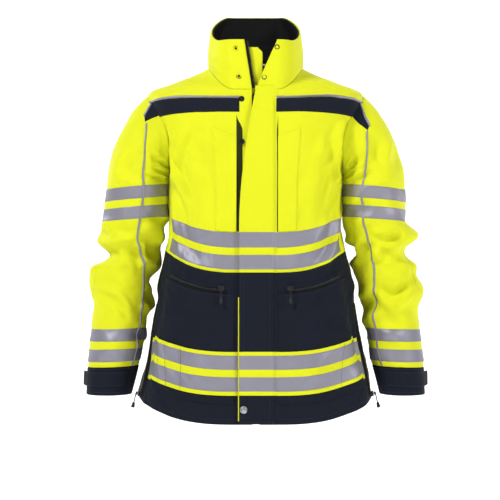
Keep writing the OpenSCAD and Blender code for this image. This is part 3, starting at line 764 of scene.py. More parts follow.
class Wardrobe:
    """Makes each finish once and dresses pieces in it."""

    def __init__(self) -> None:
        """Starts with no finish made."""
        self.made: dict[Finish, bpy.types.Material] = {}

    def material(self, finish: Finish) -> bpy.types.Material:
        """Returns a finish's one material."""
        if finish not in self.made:
            self.made[finish] = finish.value.material()
        return self.made[finish]

    def dress(self, piece: bpy.types.Object, finish: Finish) -> None:
        """Gives a piece its only material."""
        piece.data.materials.clear()
        piece.data.materials.append(self.material(finish))

    def issue(self, piece: bpy.types.Object, finish: Finish, body: str, *nodes: str) -> None:
        """Dresses a piece, which stands for the frame nodes named, and gives it to its body."""
        self.dress(piece, finish)
        if nodes:
            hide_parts(*nodes)
        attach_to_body(piece, body)
        LOG.info("%s: %s on %s", piece.name, finish.value.name, body)

    def paint(self, node: bpy.types.Object, finish: Finish) -> None:
        """Gives a frame node that stays as it is a finish, through its object's slots."""
        for place in node.material_slots:
            place.link = "OBJECT"
            place.material = self.material(finish)


# ---------------------------------------------------------------- cloth cut and laid on a form


def attach(piece: bpy.types.Object, ride: object) -> bpy.types.Object:
    """Gives a piece to the body it rides on; a piece meant to bend between two bodies only has its transform
    baked.
    """
    if isinstance(ride, str):
        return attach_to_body(piece, ride)
    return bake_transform(piece)


@dataclass
class Cut:
    """One panel of cloth: its grid lines, where they lie on a form, and its thickness."""

    name: str
    form: Form
    columns: Array
    rows: Array
    place: Callable[[Array, Array], Spot]
    finish: Finish
    outer: float = 0.0
    thickness: float = 1.6
    closed: bool = False
    mirrored: bool = False
    roll: float = 0.8
    lift: Optional[Callable[[Array, Array], Array]] = None
    nodes: Sequence[str] = ()
    held: Held = Held.STRETCHED


class Tailor:
    """Cuts cloth, lays it on the forms, sews it and hands each piece to its body."""

    stitch_mm = 2.6
    stitch_pitch_mm = 3.4

    def __init__(self, wardrobe: Wardrobe) -> None:
        """Keeps the wardrobe that dresses the pieces."""
        self.wardrobe = wardrobe
        self.stitch_lines: dict[tuple, list] = {}

    def lay(self, cut: Cut, body: Optional[str], sheet: bool = True) -> bpy.types.Object:
        """Makes a panel.

        Args:
            cut: The panel.
            body: The CAD body it rides on, or None if its transform is baked later instead.
            sheet: Not used.

        Returns:
            The piece.
        """
        bpy.ops.object.select_all(action="DESELECT")
        nu, nv = len(cut.columns), len(cut.rows)
        bpy.ops.mesh.primitive_grid_add(x_subdivisions=nu - 1, y_subdivisions=nv - 1, size=2)
        piece = bpy.context.active_object
        piece.name = cut.name
        piece.data.name = cut.name
        mesh = piece.data
        flat = np.zeros(len(mesh.vertices) * 3)
        mesh.vertices.foreach_get("co", flat)
        flat = flat.reshape(-1, 3)
        iu = np.rint((flat[:, 0] + 1) / 2 * (nu - 1)).astype(int)
        iv = np.rint((flat[:, 1] + 1) / 2 * (nv - 1)).astype(int)
        u, v = cut.columns[iu], cut.rows[iv]
        a, b = cut.place(u, v)
        off = cut.outer + (cut.lift(u, v) if cut.lift else 0.0)
        points = cut.form.skin(a, b, off)
        grid = np.empty((nv, nu, 3))
        grid[iv, iu] = points
        across = np.linalg.norm(np.diff(grid, axis=1), axis=-1)
        along = np.linalg.norm(np.diff(grid, axis=0), axis=-1)
        far_u = np.concatenate([np.zeros((nv, 1)), across.cumsum(1)], 1)
        far_v = np.concatenate([np.zeros((1, nu)), along.cumsum(0)], 0)
        edge_u = np.minimum(far_u, far_u[:, -1:] - far_u) if not cut.closed else np.full((nv, nu), 99.0)
        edge = np.minimum(edge_u, np.minimum(far_v, far_v[-1:] - far_v))
        sink = 0.75 * cut.thickness * np.clip(1 - edge / max(cut.roll, 1e-6), 0, 1) ** 2
        points = cut.form.skin(a, b, off - sink[iv, iu])
        mesh.vertices.foreach_set("co", (points * MM).ravel())
        uv = np.stack([far_u.mean(0)[iu], far_v.mean(1)[iv]], -1) * MM
        corner = np.zeros(len(mesh.loops), int)
        mesh.loops.foreach_get("vertex_index", corner)
        mesh.uv_layers[0].data.foreach_set("uv", uv[corner].ravel())
        mesh.uv_layers[0].name = "cut"
        mesh.update()
        if cut.mirrored:
            mesh.flip_normals()
        if cut.closed:
            bpy.ops.object.mode_set(mode="EDIT")
            bpy.ops.mesh.select_all(action="SELECT")
            bpy.ops.mesh.remove_doubles(threshold=1e-6)
            bpy.ops.object.mode_set(mode="OBJECT")
        wall = piece.modifiers.new("wall", "SOLIDIFY")
        wall.thickness = cut.thickness * MM
        wall.offset = -1
        bpy.ops.object.modifier_apply(modifier=wall.name)
        bpy.ops.object.shade_smooth_by_angle(angle=np.radians(50))
        self.wardrobe.dress(piece, cut.finish)
        if cut.nodes:
            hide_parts(*cut.nodes)
        if body:
            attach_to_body(piece, body)
        return piece

    def sew(self, key: tuple, form: Form, a: Array, b: Array, off: float) -> None:
        """Adds a row of stitches along a line on a form.

        Args:
            key: The group: name, finish and body, or the two bodies and the blend's two points.
            form: The form.
            a: The line's first coordinates, close together.
            b: The line's second coordinates.
            off: How far the thread's middle stands off the form.
        """
        a, b = pair(a, b)
        self.stitch(key, form.skin(a, b, np.full(len(a), off)), form.normal(a, b))

    def stitch(self, key: tuple, line: Array, normal: Array) -> None:
        """Adds a row of stitches along a line of points."""
        far = lengths(line)
        at = (np.arange(int(far[-1] // self.stitch_pitch_mm)) + 0.5) * self.stitch_pitch_mm
        if len(at):
            row = (read(at, far, line), heading(at, far, line, 0.8), unit(read(at, far, normal)))
            self.stitch_lines.setdefault(key, []).append(row)

    def stitch_shape(self) -> tuple[Array, list]:
        """Models one stitch: a short thread, fat in the middle, along X.

        Returns:
            Its points in millimetres and its faces.
        """
        thread = new_shape(
            "cylinder", vertices=6, radius=0.26, depth=self.stitch_mm * 0.7, end_fill_type="TRIFAN"
        )
        points = np.array([v.co[:] for v in thread.data.vertices])
        ends = np.linalg.norm(points[:, :2], axis=1) < 0.01
        points[ends, 2] *= self.stitch_mm / (self.stitch_mm * 0.7)
        faces = [tuple(p.vertices) for p in thread.data.polygons]
        bpy.data.objects.remove(thread)
        return points[:, [2, 0, 1]], faces

    def tie_off(self) -> None:
        """Makes each group's stitches as one piece and hands it to its body, or bakes its transform where it
        would bend between two.
        """
        shape, faces = self.stitch_shape()
        for key, rows in self.stitch_lines.items():
            name, finish, ride = key
            middle, along, normal = (np.concatenate([r[i] for r in rows]) for i in range(3))
            piece = repeat(name, shape, faces, middle, along, normal)
            self.wardrobe.dress(piece, finish)
            attach(piece, ride)
            LOG.info("%s: %d stitches", name, len(middle))


# ---------------------------------------------------------------- shapes that aren't cloth


def repeat(
    name: str, shape: Array, faces: list, middle: Array, along: Array, normal: Array
) -> bpy.types.Object:
    """Copies one small shape to many places, as one mesh.

    Args:
        name: The piece's name.
        shape: The shape's points in millimetres, X along and Z outwards.
        faces: Its faces.
        middle: Where each copy goes.
        along: Each copy's X direction.
        normal: Each copy's Z direction.

    Returns:
        The piece, in metres.
    """
    face_count = np.array([len(f) for f in faces])
    face_points = np.concatenate([np.array(f) for f in faces])
    cross = unit(np.cross(normal, along))
    count = len(middle)
    points = (
        middle[:, None, :] + shape[None, :, 0:1] * along[:, None, :] + shape[None, :, 1:2]
        * cross[:, None, :] + shape[None, :, 2:3] * normal[:, None, :]
    ).reshape(-1, 3)
    starts = np.concatenate([[0], face_count.cumsum()[:-1]])
    loops = (face_points[None, :] + (np.arange(count) * len(shape))[:, None]).ravel()
    starts = (starts[None, :] + (np.arange(count) * len(face_points))[:, None]).ravel()
    mesh = bpy.data.meshes.new(name)
    mesh.vertices.add(len(points))
    mesh.vertices.foreach_set("co", (points * MM).ravel())
    mesh.loops.add(len(loops))
    mesh.loops.foreach_set("vertex_index", loops.astype(np.int32))
    mesh.polygons.add(len(starts))
    mesh.polygons.foreach_set("loop_start", starts.astype(np.int32))
    mesh.update(calc_edges=True)
    mesh.validate()
    piece = bpy.data.objects.new(name, mesh)
    bpy.context.scene.collection.objects.link(piece)
    return piece


def taken(piece: bpy.types.Object) -> tuple[Array, list]:
    """Reads a modelled shape and deletes its object.

    Returns:
        Its points in millimetres and its faces.
    """
    points = np.array([v.co[:] for v in piece.data.vertices])
    faces = [tuple(p.vertices) for p in piece.data.polygons]
    bpy.data.objects.remove(piece)
    return points, faces


def joined(name: str, parts: Sequence[bpy.types.Object]) -> bpy.types.Object:
    """Joins modelled parts into one piece."""
    bpy.ops.object.select_all(action="DESELECT")
    for part in parts:
        part.select_set(True)
    bpy.context.view_layer.objects.active = parts[0]
    if len(parts) > 1:
        bpy.ops.object.join()
    piece = bpy.context.active_object
    piece.name = name
    piece.data.name = name
    return piece


def stood(
    piece: bpy.types.Object, middle: Array, along: Array, up: Array, normal: Array
) -> bpy.types.Object:
    """Moves a shape in millimetres into the row frame, its place in its mesh.

    Args:
        piece: The shape, modelled about the world's middle.
        middle: Where its middle goes, in millimetres.
        along: Its X direction.
        up: Its Y direction.
        normal: Its Z direction.

    Returns:
        The piece.
    """
    piece.data.transform(piece.matrix_world)
    piece.matrix_world = Matrix.Identity(4)
    turn = Matrix((tuple(along), tuple(up), tuple(normal))).transposed()
    frame = Matrix.Translation(Vector(np.asarray(middle) * MM)) @ turn.to_4x4() @ Matrix.Scale(MM, 4)
    piece.data.transform(frame)
    piece.data.update()
    return piece


def turned(
    profile: Sequence[tuple[float, float]], name: str = "turned", sides: int = 36
) -> bpy.types.Object:
    """Turns a profile of (radius, height) round Z, from its lower pole to its upper one."""
    bpy.ops.object.select_all(action="DESELECT")
    rings = len(profile)
    bpy.ops.mesh.primitive_grid_add(x_subdivisions=sides, y_subdivisions=rings - 1, size=2)
    piece = bpy.context.active_object
    piece.name = name
    for vertex in piece.data.vertices:
        angle = (vertex.co.x + 1) * np.pi
        radius, height = profile[int(round((vertex.co.y + 1) / 2 * (rings - 1)))]
        vertex.co = (radius * np.cos(angle), radius * np.sin(angle), height)
    bpy.ops.object.mode_set(mode="EDIT")
    bpy.ops.mesh.select_all(action="SELECT")
    bpy.ops.mesh.remove_doubles(threshold=0.001)
    bpy.ops.mesh.normals_make_consistent(inside=False)
    bpy.ops.object.mode_set(mode="OBJECT")
    bpy.ops.object.shade_smooth_by_angle(angle=np.radians(40))
    return piece


def block(
    size: tuple[float, float, float], at: tuple[float, float, float], bevel: float
) -> bpy.types.Object:
    """Models a small moulded block with rounded edges, in millimetres."""
    piece = new_shape("cube", size=1, location=at, scale=size)
    bpy.ops.object.transform_apply(location=True, rotation=True, scale=True)
    edge = piece.modifiers.new("edge", "BEVEL")
    edge.width = bevel
    edge.segments = 3
    bpy.ops.object.modifier_apply(modifier=edge.name)
    bpy.ops.object.shade_smooth_by_angle(angle=np.radians(40))
    return piece


# ---------------------------------------------------------------- the front plane and loop


@dataclass
class FrontForm(Form):
    """The flat front strip that the flap and zip lie on: x across and z up."""

    body: BodyForm
    sway: float = 0.0

    def at(self, x: Array, z: Array) -> Array:
        """Returns points of the strip."""
        x, z = pair(x, z)
        y = -self.body.neck_front_depth + self.body.lean * (z + self.body.neck_dip)
        return np.stack([x, y, z], -1)

    def normal(self, x: Array, z: Array) -> Array:
        """Returns the outward direction, the same all over."""
        x, _ = pair(x, z)
        tilt = np.arctan(self.body.lean)
        return np.broadcast_to(np.array([0, -np.cos(tilt), np.sin(tilt)]), (*x.shape, 3))

    def fold(self, x: Array, z: Array) -> Array:
        """Returns the flap's slow sway, none at its root."""
        free = smooth((30 - x) / 60)
        return self.sway * free * (np.sin(z / 47 + 1) + 0.6 * np.sin(z / 21 + 2.2))


@dataclass
class LoopForm(Form):
    """The hanger strap inside the neck: x across and z up its width."""

    half: float = 35.0
    wall_y: float = 59.4
    reach: float = 8.4

    def at(self, x: Array, z: Array) -> Array:
        """Returns points of the strap."""
        x, z = pair(x, z)
        y = self.wall_y - self.reach * (1 - np.abs(np.clip(x / self.half, -1, 1)) ** 6)
        return np.stack([x, y, z - 2.0 * (1 - (x / self.half) ** 2)], -1)

    def normal(self, x: Array, z: Array) -> Array:
        """Returns the strap's facing direction, to the front."""
        x, z = pair(x, z)
        step = self.at(x + 0.5, z) - self.at(x - 0.5, z)
        return unit(np.cross(step, np.broadcast_to(np.array([0, 0, 1.0]), step.shape)))


# ---------------------------------------------------------------- the coat's sub-assemblies


@dataclass
class Shell:
    """Everything sewn to the coat's body: panels, bands, tapes, pockets and lining."""

    tailor: Tailor
    body: BodyForm
    tape_width: float = 25.4
    waist_tape: float = -288.0
    waist_gap: float = 12.5
    hem_tape: float = -519.0
    hem_gap: float = 13.0
    hem_edge: float = 7.0
    pocket_turn: float = 66.0
    pocket_top: float = -394.0
    pocket_foot: float = -604.0
    pocket_thickness: float = 1.6
    yoke_seam: float = -92.0
    pitch: float = 3.2
    side_fall: float = 6.0
    front_edge: float = 7.0

    def spot(self, x: Array, z: Array) -> Spot:
        """Returns the turn and side height of the front's point at x, z."""
        x, z = pair(x, z)
        form, s = self.body, z + 30.0
        t = x
        for _ in range(7):
            power = curve(form.rows, s, 5)
            half = curve(form.rows, s, 3)
            share = np.clip((np.abs(x) - form.flat) / (half - form.flat), 0, 1)
            r = np.arcsin(share ** (power / 2)) / DEGREE
            v = np.where(
                np.abs(x) <= form.flat, np.abs(x) / 4, form.flat_turn + r / 90 * (90 - form.flat_turn)
            )
            t = np.where(x < 0, -v, v)
            s = form.side_height(t, z)
        return t, s

    def turns(self, low: float, high: float, scale: float = 2.9) -> Array:
        """Returns close turns between two, as grid columns."""
        return steps(low * scale, high * scale, self.pitch) / scale

    def panel(
        self, name: str, place: Callable, s_low: float, s_high: float, finish: Finish, **more: object
    ) -> bpy.types.Object:
        """Lays a shell panel whose columns run 0..1 across it."""
        width = more.pop("width", 210.0)
        columns = steps(0, width, self.pitch) / width
        cut = Cut(name, self.body, columns, steps(s_low, s_high, self.pitch), place, finish, **more)
        return self.tailor.lay(cut, "shell")

    def fronts(self) -> None:
        """Makes the front panels, yellow above the waist seam and navy below."""
        form = self.body
        for side in Side:
            sign = side.value

            def place(u: Array, s: Array, sign: int = sign) -> Spot:
                """Runs from the zip to the side seam or armhole."""
                inner = form.turn_for(self.front_edge)
                t = mix(inner, form.front_side(s), u if sign > 0 else 1 - u)
                return sign * t, s

            self.panel(
                f"front_upper_{side.word}_cloth", place, form.waist, 0, Finish.YELLOW,
                nodes=[f"front_upper_{side.word}"]
            )
            self.panel(
                f"front_lower_{side.word}_cloth", place, form.hem, form.waist, Finish.NAVY,
                nodes=[f"front_lower_{side.word}"]
            )
            key = (f"seam_stitches_{side.word}", Finish.THREAD_YELLOW, "shell")
            t = np.linspace(form.turn_for(self.front_edge + 2), form.seam_turn - 1, 120) * sign
            self.tailor.sew(key, form, t, form.waist + 3.0, 0.15)
            dark = (f"hem_stitches_{side.word}", Finish.THREAD_NAVY, "shell")
            self.tailor.sew(dark, form, t, form.hem + 9.0, 0.15)
            self.tailor.sew(dark, form, t, form.waist - 3.0, 0.15)
            s = np.linspace(-200, form.waist + 4, 60)
            self.tailor.sew(key, form, sign * (form.front_side(s) - 1.1), s, 0.15)
            s = np.linspace(form.waist - 4, form.hem + 4, 90)
            self.tailor.sew(dark, form, sign * (form.front_side(s) - 1.1), s, 0.15)

    def backs(self) -> None:
        """Makes the back panels and the navy yoke over the shoulders."""
        form = self.body

        def place(u: Array, s: Array) -> Spot:
            """Runs from the left side seam or armhole to the right one."""
            edge = form.back_side(s)
            return mix(edge, 360 - edge, u), s

        parts = (
            ("back_yoke", self.yoke_seam, 0, Finish.NAVY),
            ("back_upper", form.waist, self.yoke_seam, Finish.YELLOW),
            ("back_lower", form.hem, form.waist, Finish.NAVY)
        )
        for name, low, high, finish in parts:
            self.panel(f"{name}_cloth", place, low, high, finish, width=430.0, nodes=[name])
        t = np.linspace(form.seam_turn + 30, 330 - form.seam_turn, 200)
        light = ("back_stitches_yellow", Finish.THREAD_YELLOW, "shell")
        dark = ("back_stitches_navy", Finish.THREAD_NAVY, "shell")
        self.tailor.sew(light, form, t, form.waist + 3.0, 0.15)
        self.tailor.sew(light, form, t, self.yoke_seam - 3.0, 0.15)
        self.tailor.sew(dark, form, t, self.yoke_seam + 3.0, 0.15)
        self.tailor.sew(dark, form, t, form.hem + 9.0, 0.15)
        self.tailor.sew(dark, form, t, form.waist - 3.0, 0.15)

    def sides(self) -> None:
        """Makes the narrow side panels: yellow under the arm, and black beside the side zip, darker than the
        navy as painted shade for the sides in shadow.
        """
        form = self.body
        for side in Side:
            for name, foot, top, finish in (
                ("side_upper", form.waist, None, Finish.YELLOW),
                # painted shade: black lining cloth in place of the navy, darker because the lower sides lie
                # in shadow
                ("side_lower", form.hem, form.waist, Finish.LINING)
            ):

                def place(
                    u: Array, v: Array, foot: float = foot, top: Optional[float] = top,
                    sign: int = side.value
                ) -> Spot:
                    """Runs from the front seam to the back one and up to the armpit."""
                    w = u if sign > 0 else 1 - u
                    t = mix(form.seam_turn, 180 - form.seam_turn, w)
                    high = form.side_top(t) if top is None else top
                    return sign * t, mix(foot, high, v)

                rows = steps(0, 200, self.pitch) / 200
                self.tailor.lay(
                    Cut(
                        f"{name}_{side.word}_cloth", form, steps(0, 80, self.pitch) / 80, rows, place,
                        finish, nodes=[f"{name}_{side.word}"]
                    ),
                    "shell"
                )

    def lining(self) -> None:
        """Makes the black lining inside the shell."""
        form = self.body
        low = form.hem + 12
        inner = form.turn_for(form.flat - 1)
        first = ["body_lining"]

        def back(u: Array, s: Array) -> Spot:
            """The lining of the back."""
            edge = form.back_side(s)
            return mix(edge, 360 - edge, u), s

        columns = steps(0, 1, 0.02, edge=False)
        rows = steps(low, -2, 9, edge=False)
        self.tailor.lay(
            Cut("lining_back", form, columns, rows, back, Finish.LINING, -4.0, 1.2, nodes=first), "shell"
        )
        for side in Side:
            sign = side.value

            def front(u: Array, s: Array, sign: int = sign) -> Spot:
                """The lining of a front."""
                return sign * mix(inner, form.front_side(s), u if sign > 0 else 1 - u), s

            def under(u: Array, v: Array, sign: int = sign) -> Spot:
                """The lining of a side."""
                t = mix(form.seam_turn, 180 - form.seam_turn, u if sign > 0 else 1 - u)
                return sign * t, mix(low, form.side_top(t), v)

            self.tailor.lay(
                Cut(f"lining_front_{side.word}", form, columns, rows, front, Finish.LINING, -4.0, 1.2),
                "shell"
            )
            high = steps(0, 1, 0.02, edge=False)
            self.tailor.lay(
                Cut(
                    f"lining_side_{side.word}", form, steps(0, 1, 0.08, edge=False), high, under,
                    Finish.LINING, -4.0, 1.2
                ),
                "shell"
            )

    def chest(self) -> None:
        """Makes the navy chest bands, their piping, the shoulder patches and the chest pockets."""
        form = self.body
        for side in Side:
            sign = side.value

            def strip(
                top: float, foot: float, drop: float, sign: int = sign, reach: float = 2.0
            ) -> Callable:
                """Returns a placing for a strip across the chest to the armhole."""

                def place(u: Array, v: Array) -> Spot:
                    """Runs from the zip's edge to the armhole."""
                    k = u if sign > 0 else 1 - u
                    z = mix(foot, top, v) - drop * k * k
                    s = form.side_height(np.full_like(k, 50.0), z)
                    end = np.minimum(form.front_side(s) - 0.4, form.seam_turn + 12)
                    t = mix(form.turn_for(form.flat - reach), end, k)
                    return sign * t, form.side_height(t, z)

                return place

            columns = steps(0, 170, 2.5) / 170
            reach = 2.0 if side is Side.LEFT else 9.0
            self.tailor.lay(
                Cut(
                    f"chest_band_{side.word}", form, columns, steps(0, 27, 2.5) / 27,
                    strip(-66, -93, 6, reach=reach), Finish.NAVY, 1.0, 1.3,
                    nodes=["chest_bands"] if sign > 0 else []
                ),
                "shell"
            )
            self.tailor.lay(
                Cut(
                    f"chest_piping_{side.word}", form, columns, np.linspace(0, 1, 7),
                    strip(-61.5, -65.5, 7, reach=reach), Finish.SILVER, 1.0, 1.4, roll=0.0, lift=lambda u,
                    v: 1.5 * np.sin(np.pi * v) ** 0.6, nodes=["chest_piping"] if sign > 0 else []
                ),
                "shell", sheet=False
            )
            key = (f"chest_stitches_{side.word}", Finish.THREAD_NAVY, "shell")
            k = np.linspace(0.02, 0.97, 80)
            for edge in (0.1, 0.9):
                a, b = strip(-66, -93, 6, reach=reach)(k, np.full(80, edge))
                self.tailor.sew(key, form, a, b, 1.15)

            def patch(t: Array, s: Array, sign: int = sign) -> Spot:
                """A small reinforcing patch on the shoulder's slope."""
                return sign * t, s

            turns = self.turns(58, 82, 1.6)
            self.tailor.lay(
                Cut(
                    f"shoulder_patch_{side.word}", form, turns if sign > 0 else turns[::-1],
                    steps(-50, -20, 2.5), patch, Finish.YELLOW, 0.9, 1.2,
                    nodes=["shoulder_patches"] if sign > 0 else []
                ),
                "shell"
            )
            self.chest_pocket(side)

    def chest_pocket(self, side: Side) -> None:
        """Makes a chest pocket with its vertical mouth beside the storm flap, and an olive strip of painted
        shade in the gap at its edge.
        """
        form, sign = self.body, side.value
        inner, outer = (36.5, 82.0) if side is Side.RIGHT else (42.0, 84.0)

        def place(u: Array, v: Array) -> Spot:
            """Runs from the mouth outwards, with a slanting top."""
            k = u if sign > 0 else 1 - u
            t, s = self.spot(sign * mix(inner, outer, k), -140 + 18 * k)
            return t, mix(self.waist_tape + 1.0, s, v)

        def gape(u: Array, v: Array) -> Array:
            """Lifts the mouth's edge a little along its middle."""
            k = u if sign > 0 else 1 - u
            amount = 3.2 if side is Side.RIGHT else 1.2
            return amount * np.exp(-((k * 45 / 9) ** 2)) * np.sin(np.pi * np.clip(v * 1.05, 0, 1)) ** 0.5

        self.tailor.lay(
            Cut(
                f"chest_pocket_{side.word}", form, steps(0, 45, 2.5) / 45, steps(0, 190, 3) / 190, place,
                Finish.YELLOW, 1.3, 1.5, lift=gape, nodes=["chest_pockets"] if sign > 0 else []
            ),
            "shell"
        )
        key = (f"chest_pocket_stitches_{side.word}", Finish.THREAD_YELLOW, "shell")
        line = np.linspace(0.02, 0.98, 90)
        a, b = place(np.full(90, 0.94 if sign > 0 else 0.06), line)
        self.tailor.sew(key, form, a, b, 1.45)
        a, b = place(np.linspace(0.08, 0.94, 40), np.full(40, 0.985))
        self.tailor.sew(key, form, a, b, 1.45)
        low, high = (25.0, 36.8) if side is Side.RIGHT else (40.0, 42.4)

        def mouth(u: Array, v: Array) -> Spot:
            """A strip of painted shade beyond the pocket's edge: olive cloth that stands for the shadow in
            the gap.
            """
            k = u if sign > 0 else 1 - u
            narrow = mix(high, low, smooth((1.005 - v) / 0.16))
            t, s = self.spot(sign * mix(narrow, high, k), np.full_like(k, -98.0))
            return t, mix(self.waist_tape + 1.0, s, v)

        # painted shade: an olive strip where the gap beside the pocket's edge lies in shadow
        self.tailor.lay(
            Cut(
                f"chest_pocket_mouth_{side.word}", form, np.linspace(0, 1, 6), steps(0, 190, 3) / 190, mouth,
                Finish.OLIVE, 0.5, 0.6
            ),
            "shell"
        )

    def tape(
        self, name: str, t0: float, t1: float, low: float, high: float, outer: float, **more: object
    ) -> None:
        """Lays one reflective tape with a row of stitches along each edge."""
        form = self.body

        def drape(t: Array, s: Array) -> Array:
            """Comes down from the pocket to the shell under the flap."""
            return -step * smooth((form.flat_turn - np.abs(wrapped(t))) / 1.2)

        step = more.pop("step", 0.0)
        over = more.pop("lift", None)
        more["lift"] = (lambda t, s: drape(t, s) + over(t, s)) if over else drape
        finish = more.pop("finish", Finish.SILVER)
        rows = more.pop("rows", steps(low, high, 3))
        self.tailor.lay(
            Cut(name, form, self.turns(t0, t1), rows, as_is, finish, outer, 1.1, **more), "shell",
            sheet=False
        )
        if finish is Finish.SILVER:
            t = np.linspace(t0 + 0.4, t1 - 0.4, max(20, int(abs(t1 - t0) * 2)))
            for s in (low + 1.8, high - 1.8):
                self.tailor.sew(("tape_stitches", Finish.THREAD_GREY, "shell"), form, t, s, outer + 0.12)

    def hem_band(self) -> tuple[float, float]:
        """Returns the lower and upper edges of the hem band's backing."""
        tapes = 2 * self.tape_width + self.hem_gap
        return self.hem_tape - tapes - self.hem_edge, self.hem_tape + self.hem_edge

    def bands(self) -> None:
        """Makes the two tapes at the waist and the two on the hem's yellow backing."""
        form = self.body
        tuck, seam, pocket = form.turn_for(form.flat - 24), form.seam_turn, self.pocket_turn
        high_pocket = self.pocket_thickness + 1.0
        runs = (
            ("front_left", tuck, seam - 3, 0.9), ("front_right", 3 - seam, -tuck, 0.9),
            ("back", 188 - seam, 172 + seam, 0.9)
        )
        hem_runs = (
            ("pocket_left", tuck, pocket, high_pocket), ("pocket_right", -pocket, -tuck, high_pocket),
            ("side_left", pocket + 1.0, seam - 1, 0.0), ("side_right", 1 - seam, -pocket - 1.0, 0.0),
            ("back", 188 - seam, 172 + seam, 0.0)
        )
        first = ["body_tapes"]
        for number in range(2):
            top = self.waist_tape - number * (self.tape_width + self.waist_gap)
            for word, t0, t1, outer in runs:
                self.tape(
                    f"waist_tape_{word}_{number + 1}", t0, t1, top - self.tape_width, top, outer, nodes=first
                )
                first = []
            top = self.hem_tape - number * (self.tape_width + self.hem_gap)
            for word, t0, t1, base in hem_runs:
                fall = self.side_fall if word.startswith("side") else 0.0
                low, high = top - fall - self.tape_width, top - fall
                self.tape(f"hem_tape_{word}_{number + 1}", t0, t1, low, high, base + 2.0, step=base)
        foot, top = self.hem_band()
        ridge_rows = np.arange(foot, top + 0.01, 0.9)

        def ridges(t: Array, s: Array) -> Array:
            """Raises fine tucks that run along the backing."""
            return 0.45 * (0.5 + 0.5 * np.cos((s - foot) / 2.7 * 2 * np.pi))

        first = ["hem_band_backing"]
        for x in (-178, -165, -138, 159):
            s = np.linspace(foot + 1, top - 1, 30)
            t, _ = self.spot(np.full(30, float(x)), s - 20)
            self.tailor.sew(("hem_band_seams", Finish.THREAD_NAVY, "shell"), form, t, s, high_pocket + 2.2)
        for word, t0, t1, base in hem_runs:
            self.tape(
                f"hem_backing_{word}", t0, t1, foot, top, base + 0.9, finish=Finish.YELLOW,
                rows=ridge_rows - (self.side_fall if word.startswith("side") else 0.0), lift=ridges,
                nodes=first, step=base
            )
            first = []

    def hand_pockets(self) -> None:
        """Makes the big navy hand pockets, their curved zips and welts."""
        form = self.body
        flat = form.turn_for(form.flat)
        for side in Side:
            sign = side.value

            def place(t: Array, s: Array, sign: int = sign) -> Spot:
                """Lies straight on the body, on either side."""
                return sign * t, s

            turns = self.turns(flat, self.pocket_turn)
            columns = turns if sign > 0 else turns[::-1]
            self.tailor.lay(
                Cut(
                    f"hand_pocket_{side.word}_cloth", form, columns,
                    steps(self.pocket_foot, self.pocket_top - 3, self.pitch), place, Finish.NAVY,
                    self.pocket_thickness, 2.0, nodes=[f"hand_pocket_{side.word}"]
                ),
                "shell"
            )
            key = (f"pocket_stitches_{side.word}", Finish.THREAD_NAVY, "shell")
            lines = (
                (
                    np.full(90, self.pocket_turn - 1.0),
                    np.linspace(self.pocket_foot + 3, self.pocket_top - 6, 90)
                ),
                (np.linspace(flat + 1, self.pocket_turn - 1, 120), np.full(120, self.pocket_top - 7.0))
            )
            for t, s in lines:
                self.tailor.sew(key, form, sign * t, s, self.pocket_thickness + 0.15)
            zip_turns = self.turns(14, 58)
            strip = zip_turns if sign > 0 else zip_turns[::-1]
            for name, low, high, outer, finish, thick in (
                ("tape", self.pocket_top - 3, self.pocket_top + 9, 0.8, Finish.ZIP_TAPE, 1.0),
                ("welt", self.pocket_top + 5.4, self.pocket_top + 13, 1.5, Finish.NAVY, 1.6)
            ):
                self.tailor.lay(
                    Cut(
                        f"pocket_zip_{name}_{side.word}", form, strip, steps(low, high, 1.5), place, finish,
                        outer, thick, nodes=["pocket_zips"] if sign > 0 and name == "tape" else []
                    ),
                    "shell", sheet=False
                )
            self.coil(
                f"pocket_zip_coil_{side.word}", 14.6 * sign, 57.4 * sign, self.pocket_top + 3.4,
                self.pocket_top + 3.4, 0.9
            )

    def side_zips(self) -> None:
        """Makes the zips that open the sides from the hem."""
        form = self.body
        turn, foot, top = form.side_zip_turn, form.hem + 4, form.hem + 184
        for side in Side:
            sign = side.value
            strip = steps(0, 13, 1.5) / 13

            def place(u: Array, s: Array, sign: int = sign) -> Spot:
                """Runs up the side at its turn."""
                k = u if sign > 0 else 1 - u
                return sign * (turn - 2.6 + 5.2 * k), s

            self.tailor.lay(
                Cut(
                    f"side_zip_tape_{side.word}", form, strip, steps(foot, top, self.pitch), place,
                    Finish.ZIP_TAPE, 0.9, 1.0, nodes=["side_zips"] if sign > 0 else []
                ),
                "shell", sheet=False
            )
            self.coil(f"side_zip_coil_{side.word}", turn * sign, turn * sign, foot + 2, top - 2, 0.95)

    def coil(self, name: str, t0: float, t1: float, s0: float, s1: float, off: float) -> None:
        """Makes a nylon coil zip as a row of small rounded links."""
        form = self.body
        t, s = np.linspace(t0, t1, 300), np.linspace(s0, s1, 300)
        line = form.skin(t, s, np.full(300, off + 0.5))
        far = lengths(line)
        at = np.arange(0.7, far[-1], 1.5)
        normal = form.normal(np.interp(at, far, t), np.interp(at, far, s))
        new_shape("cylinder", vertices=6, radius=0.55, depth=4.4, rotation=(np.pi / 2, 0, 0))
        bpy.ops.object.transform_apply(location=False, rotation=True, scale=False)
        shape, faces = taken(bpy.context.active_object)
        piece = repeat(name, shape, faces, read(at, far, line), heading(at, far, line, 1), normal)
        self.tailor.wardrobe.issue(piece, Finish.PLASTIC, "shell")

    def build(self) -> None:
        """Makes all of the shell."""
        self.fronts()
        self.backs()
        self.sides()
        self.lining()
        self.chest()
        self.bands()
        self.hand_pockets()
        self.side_zips()


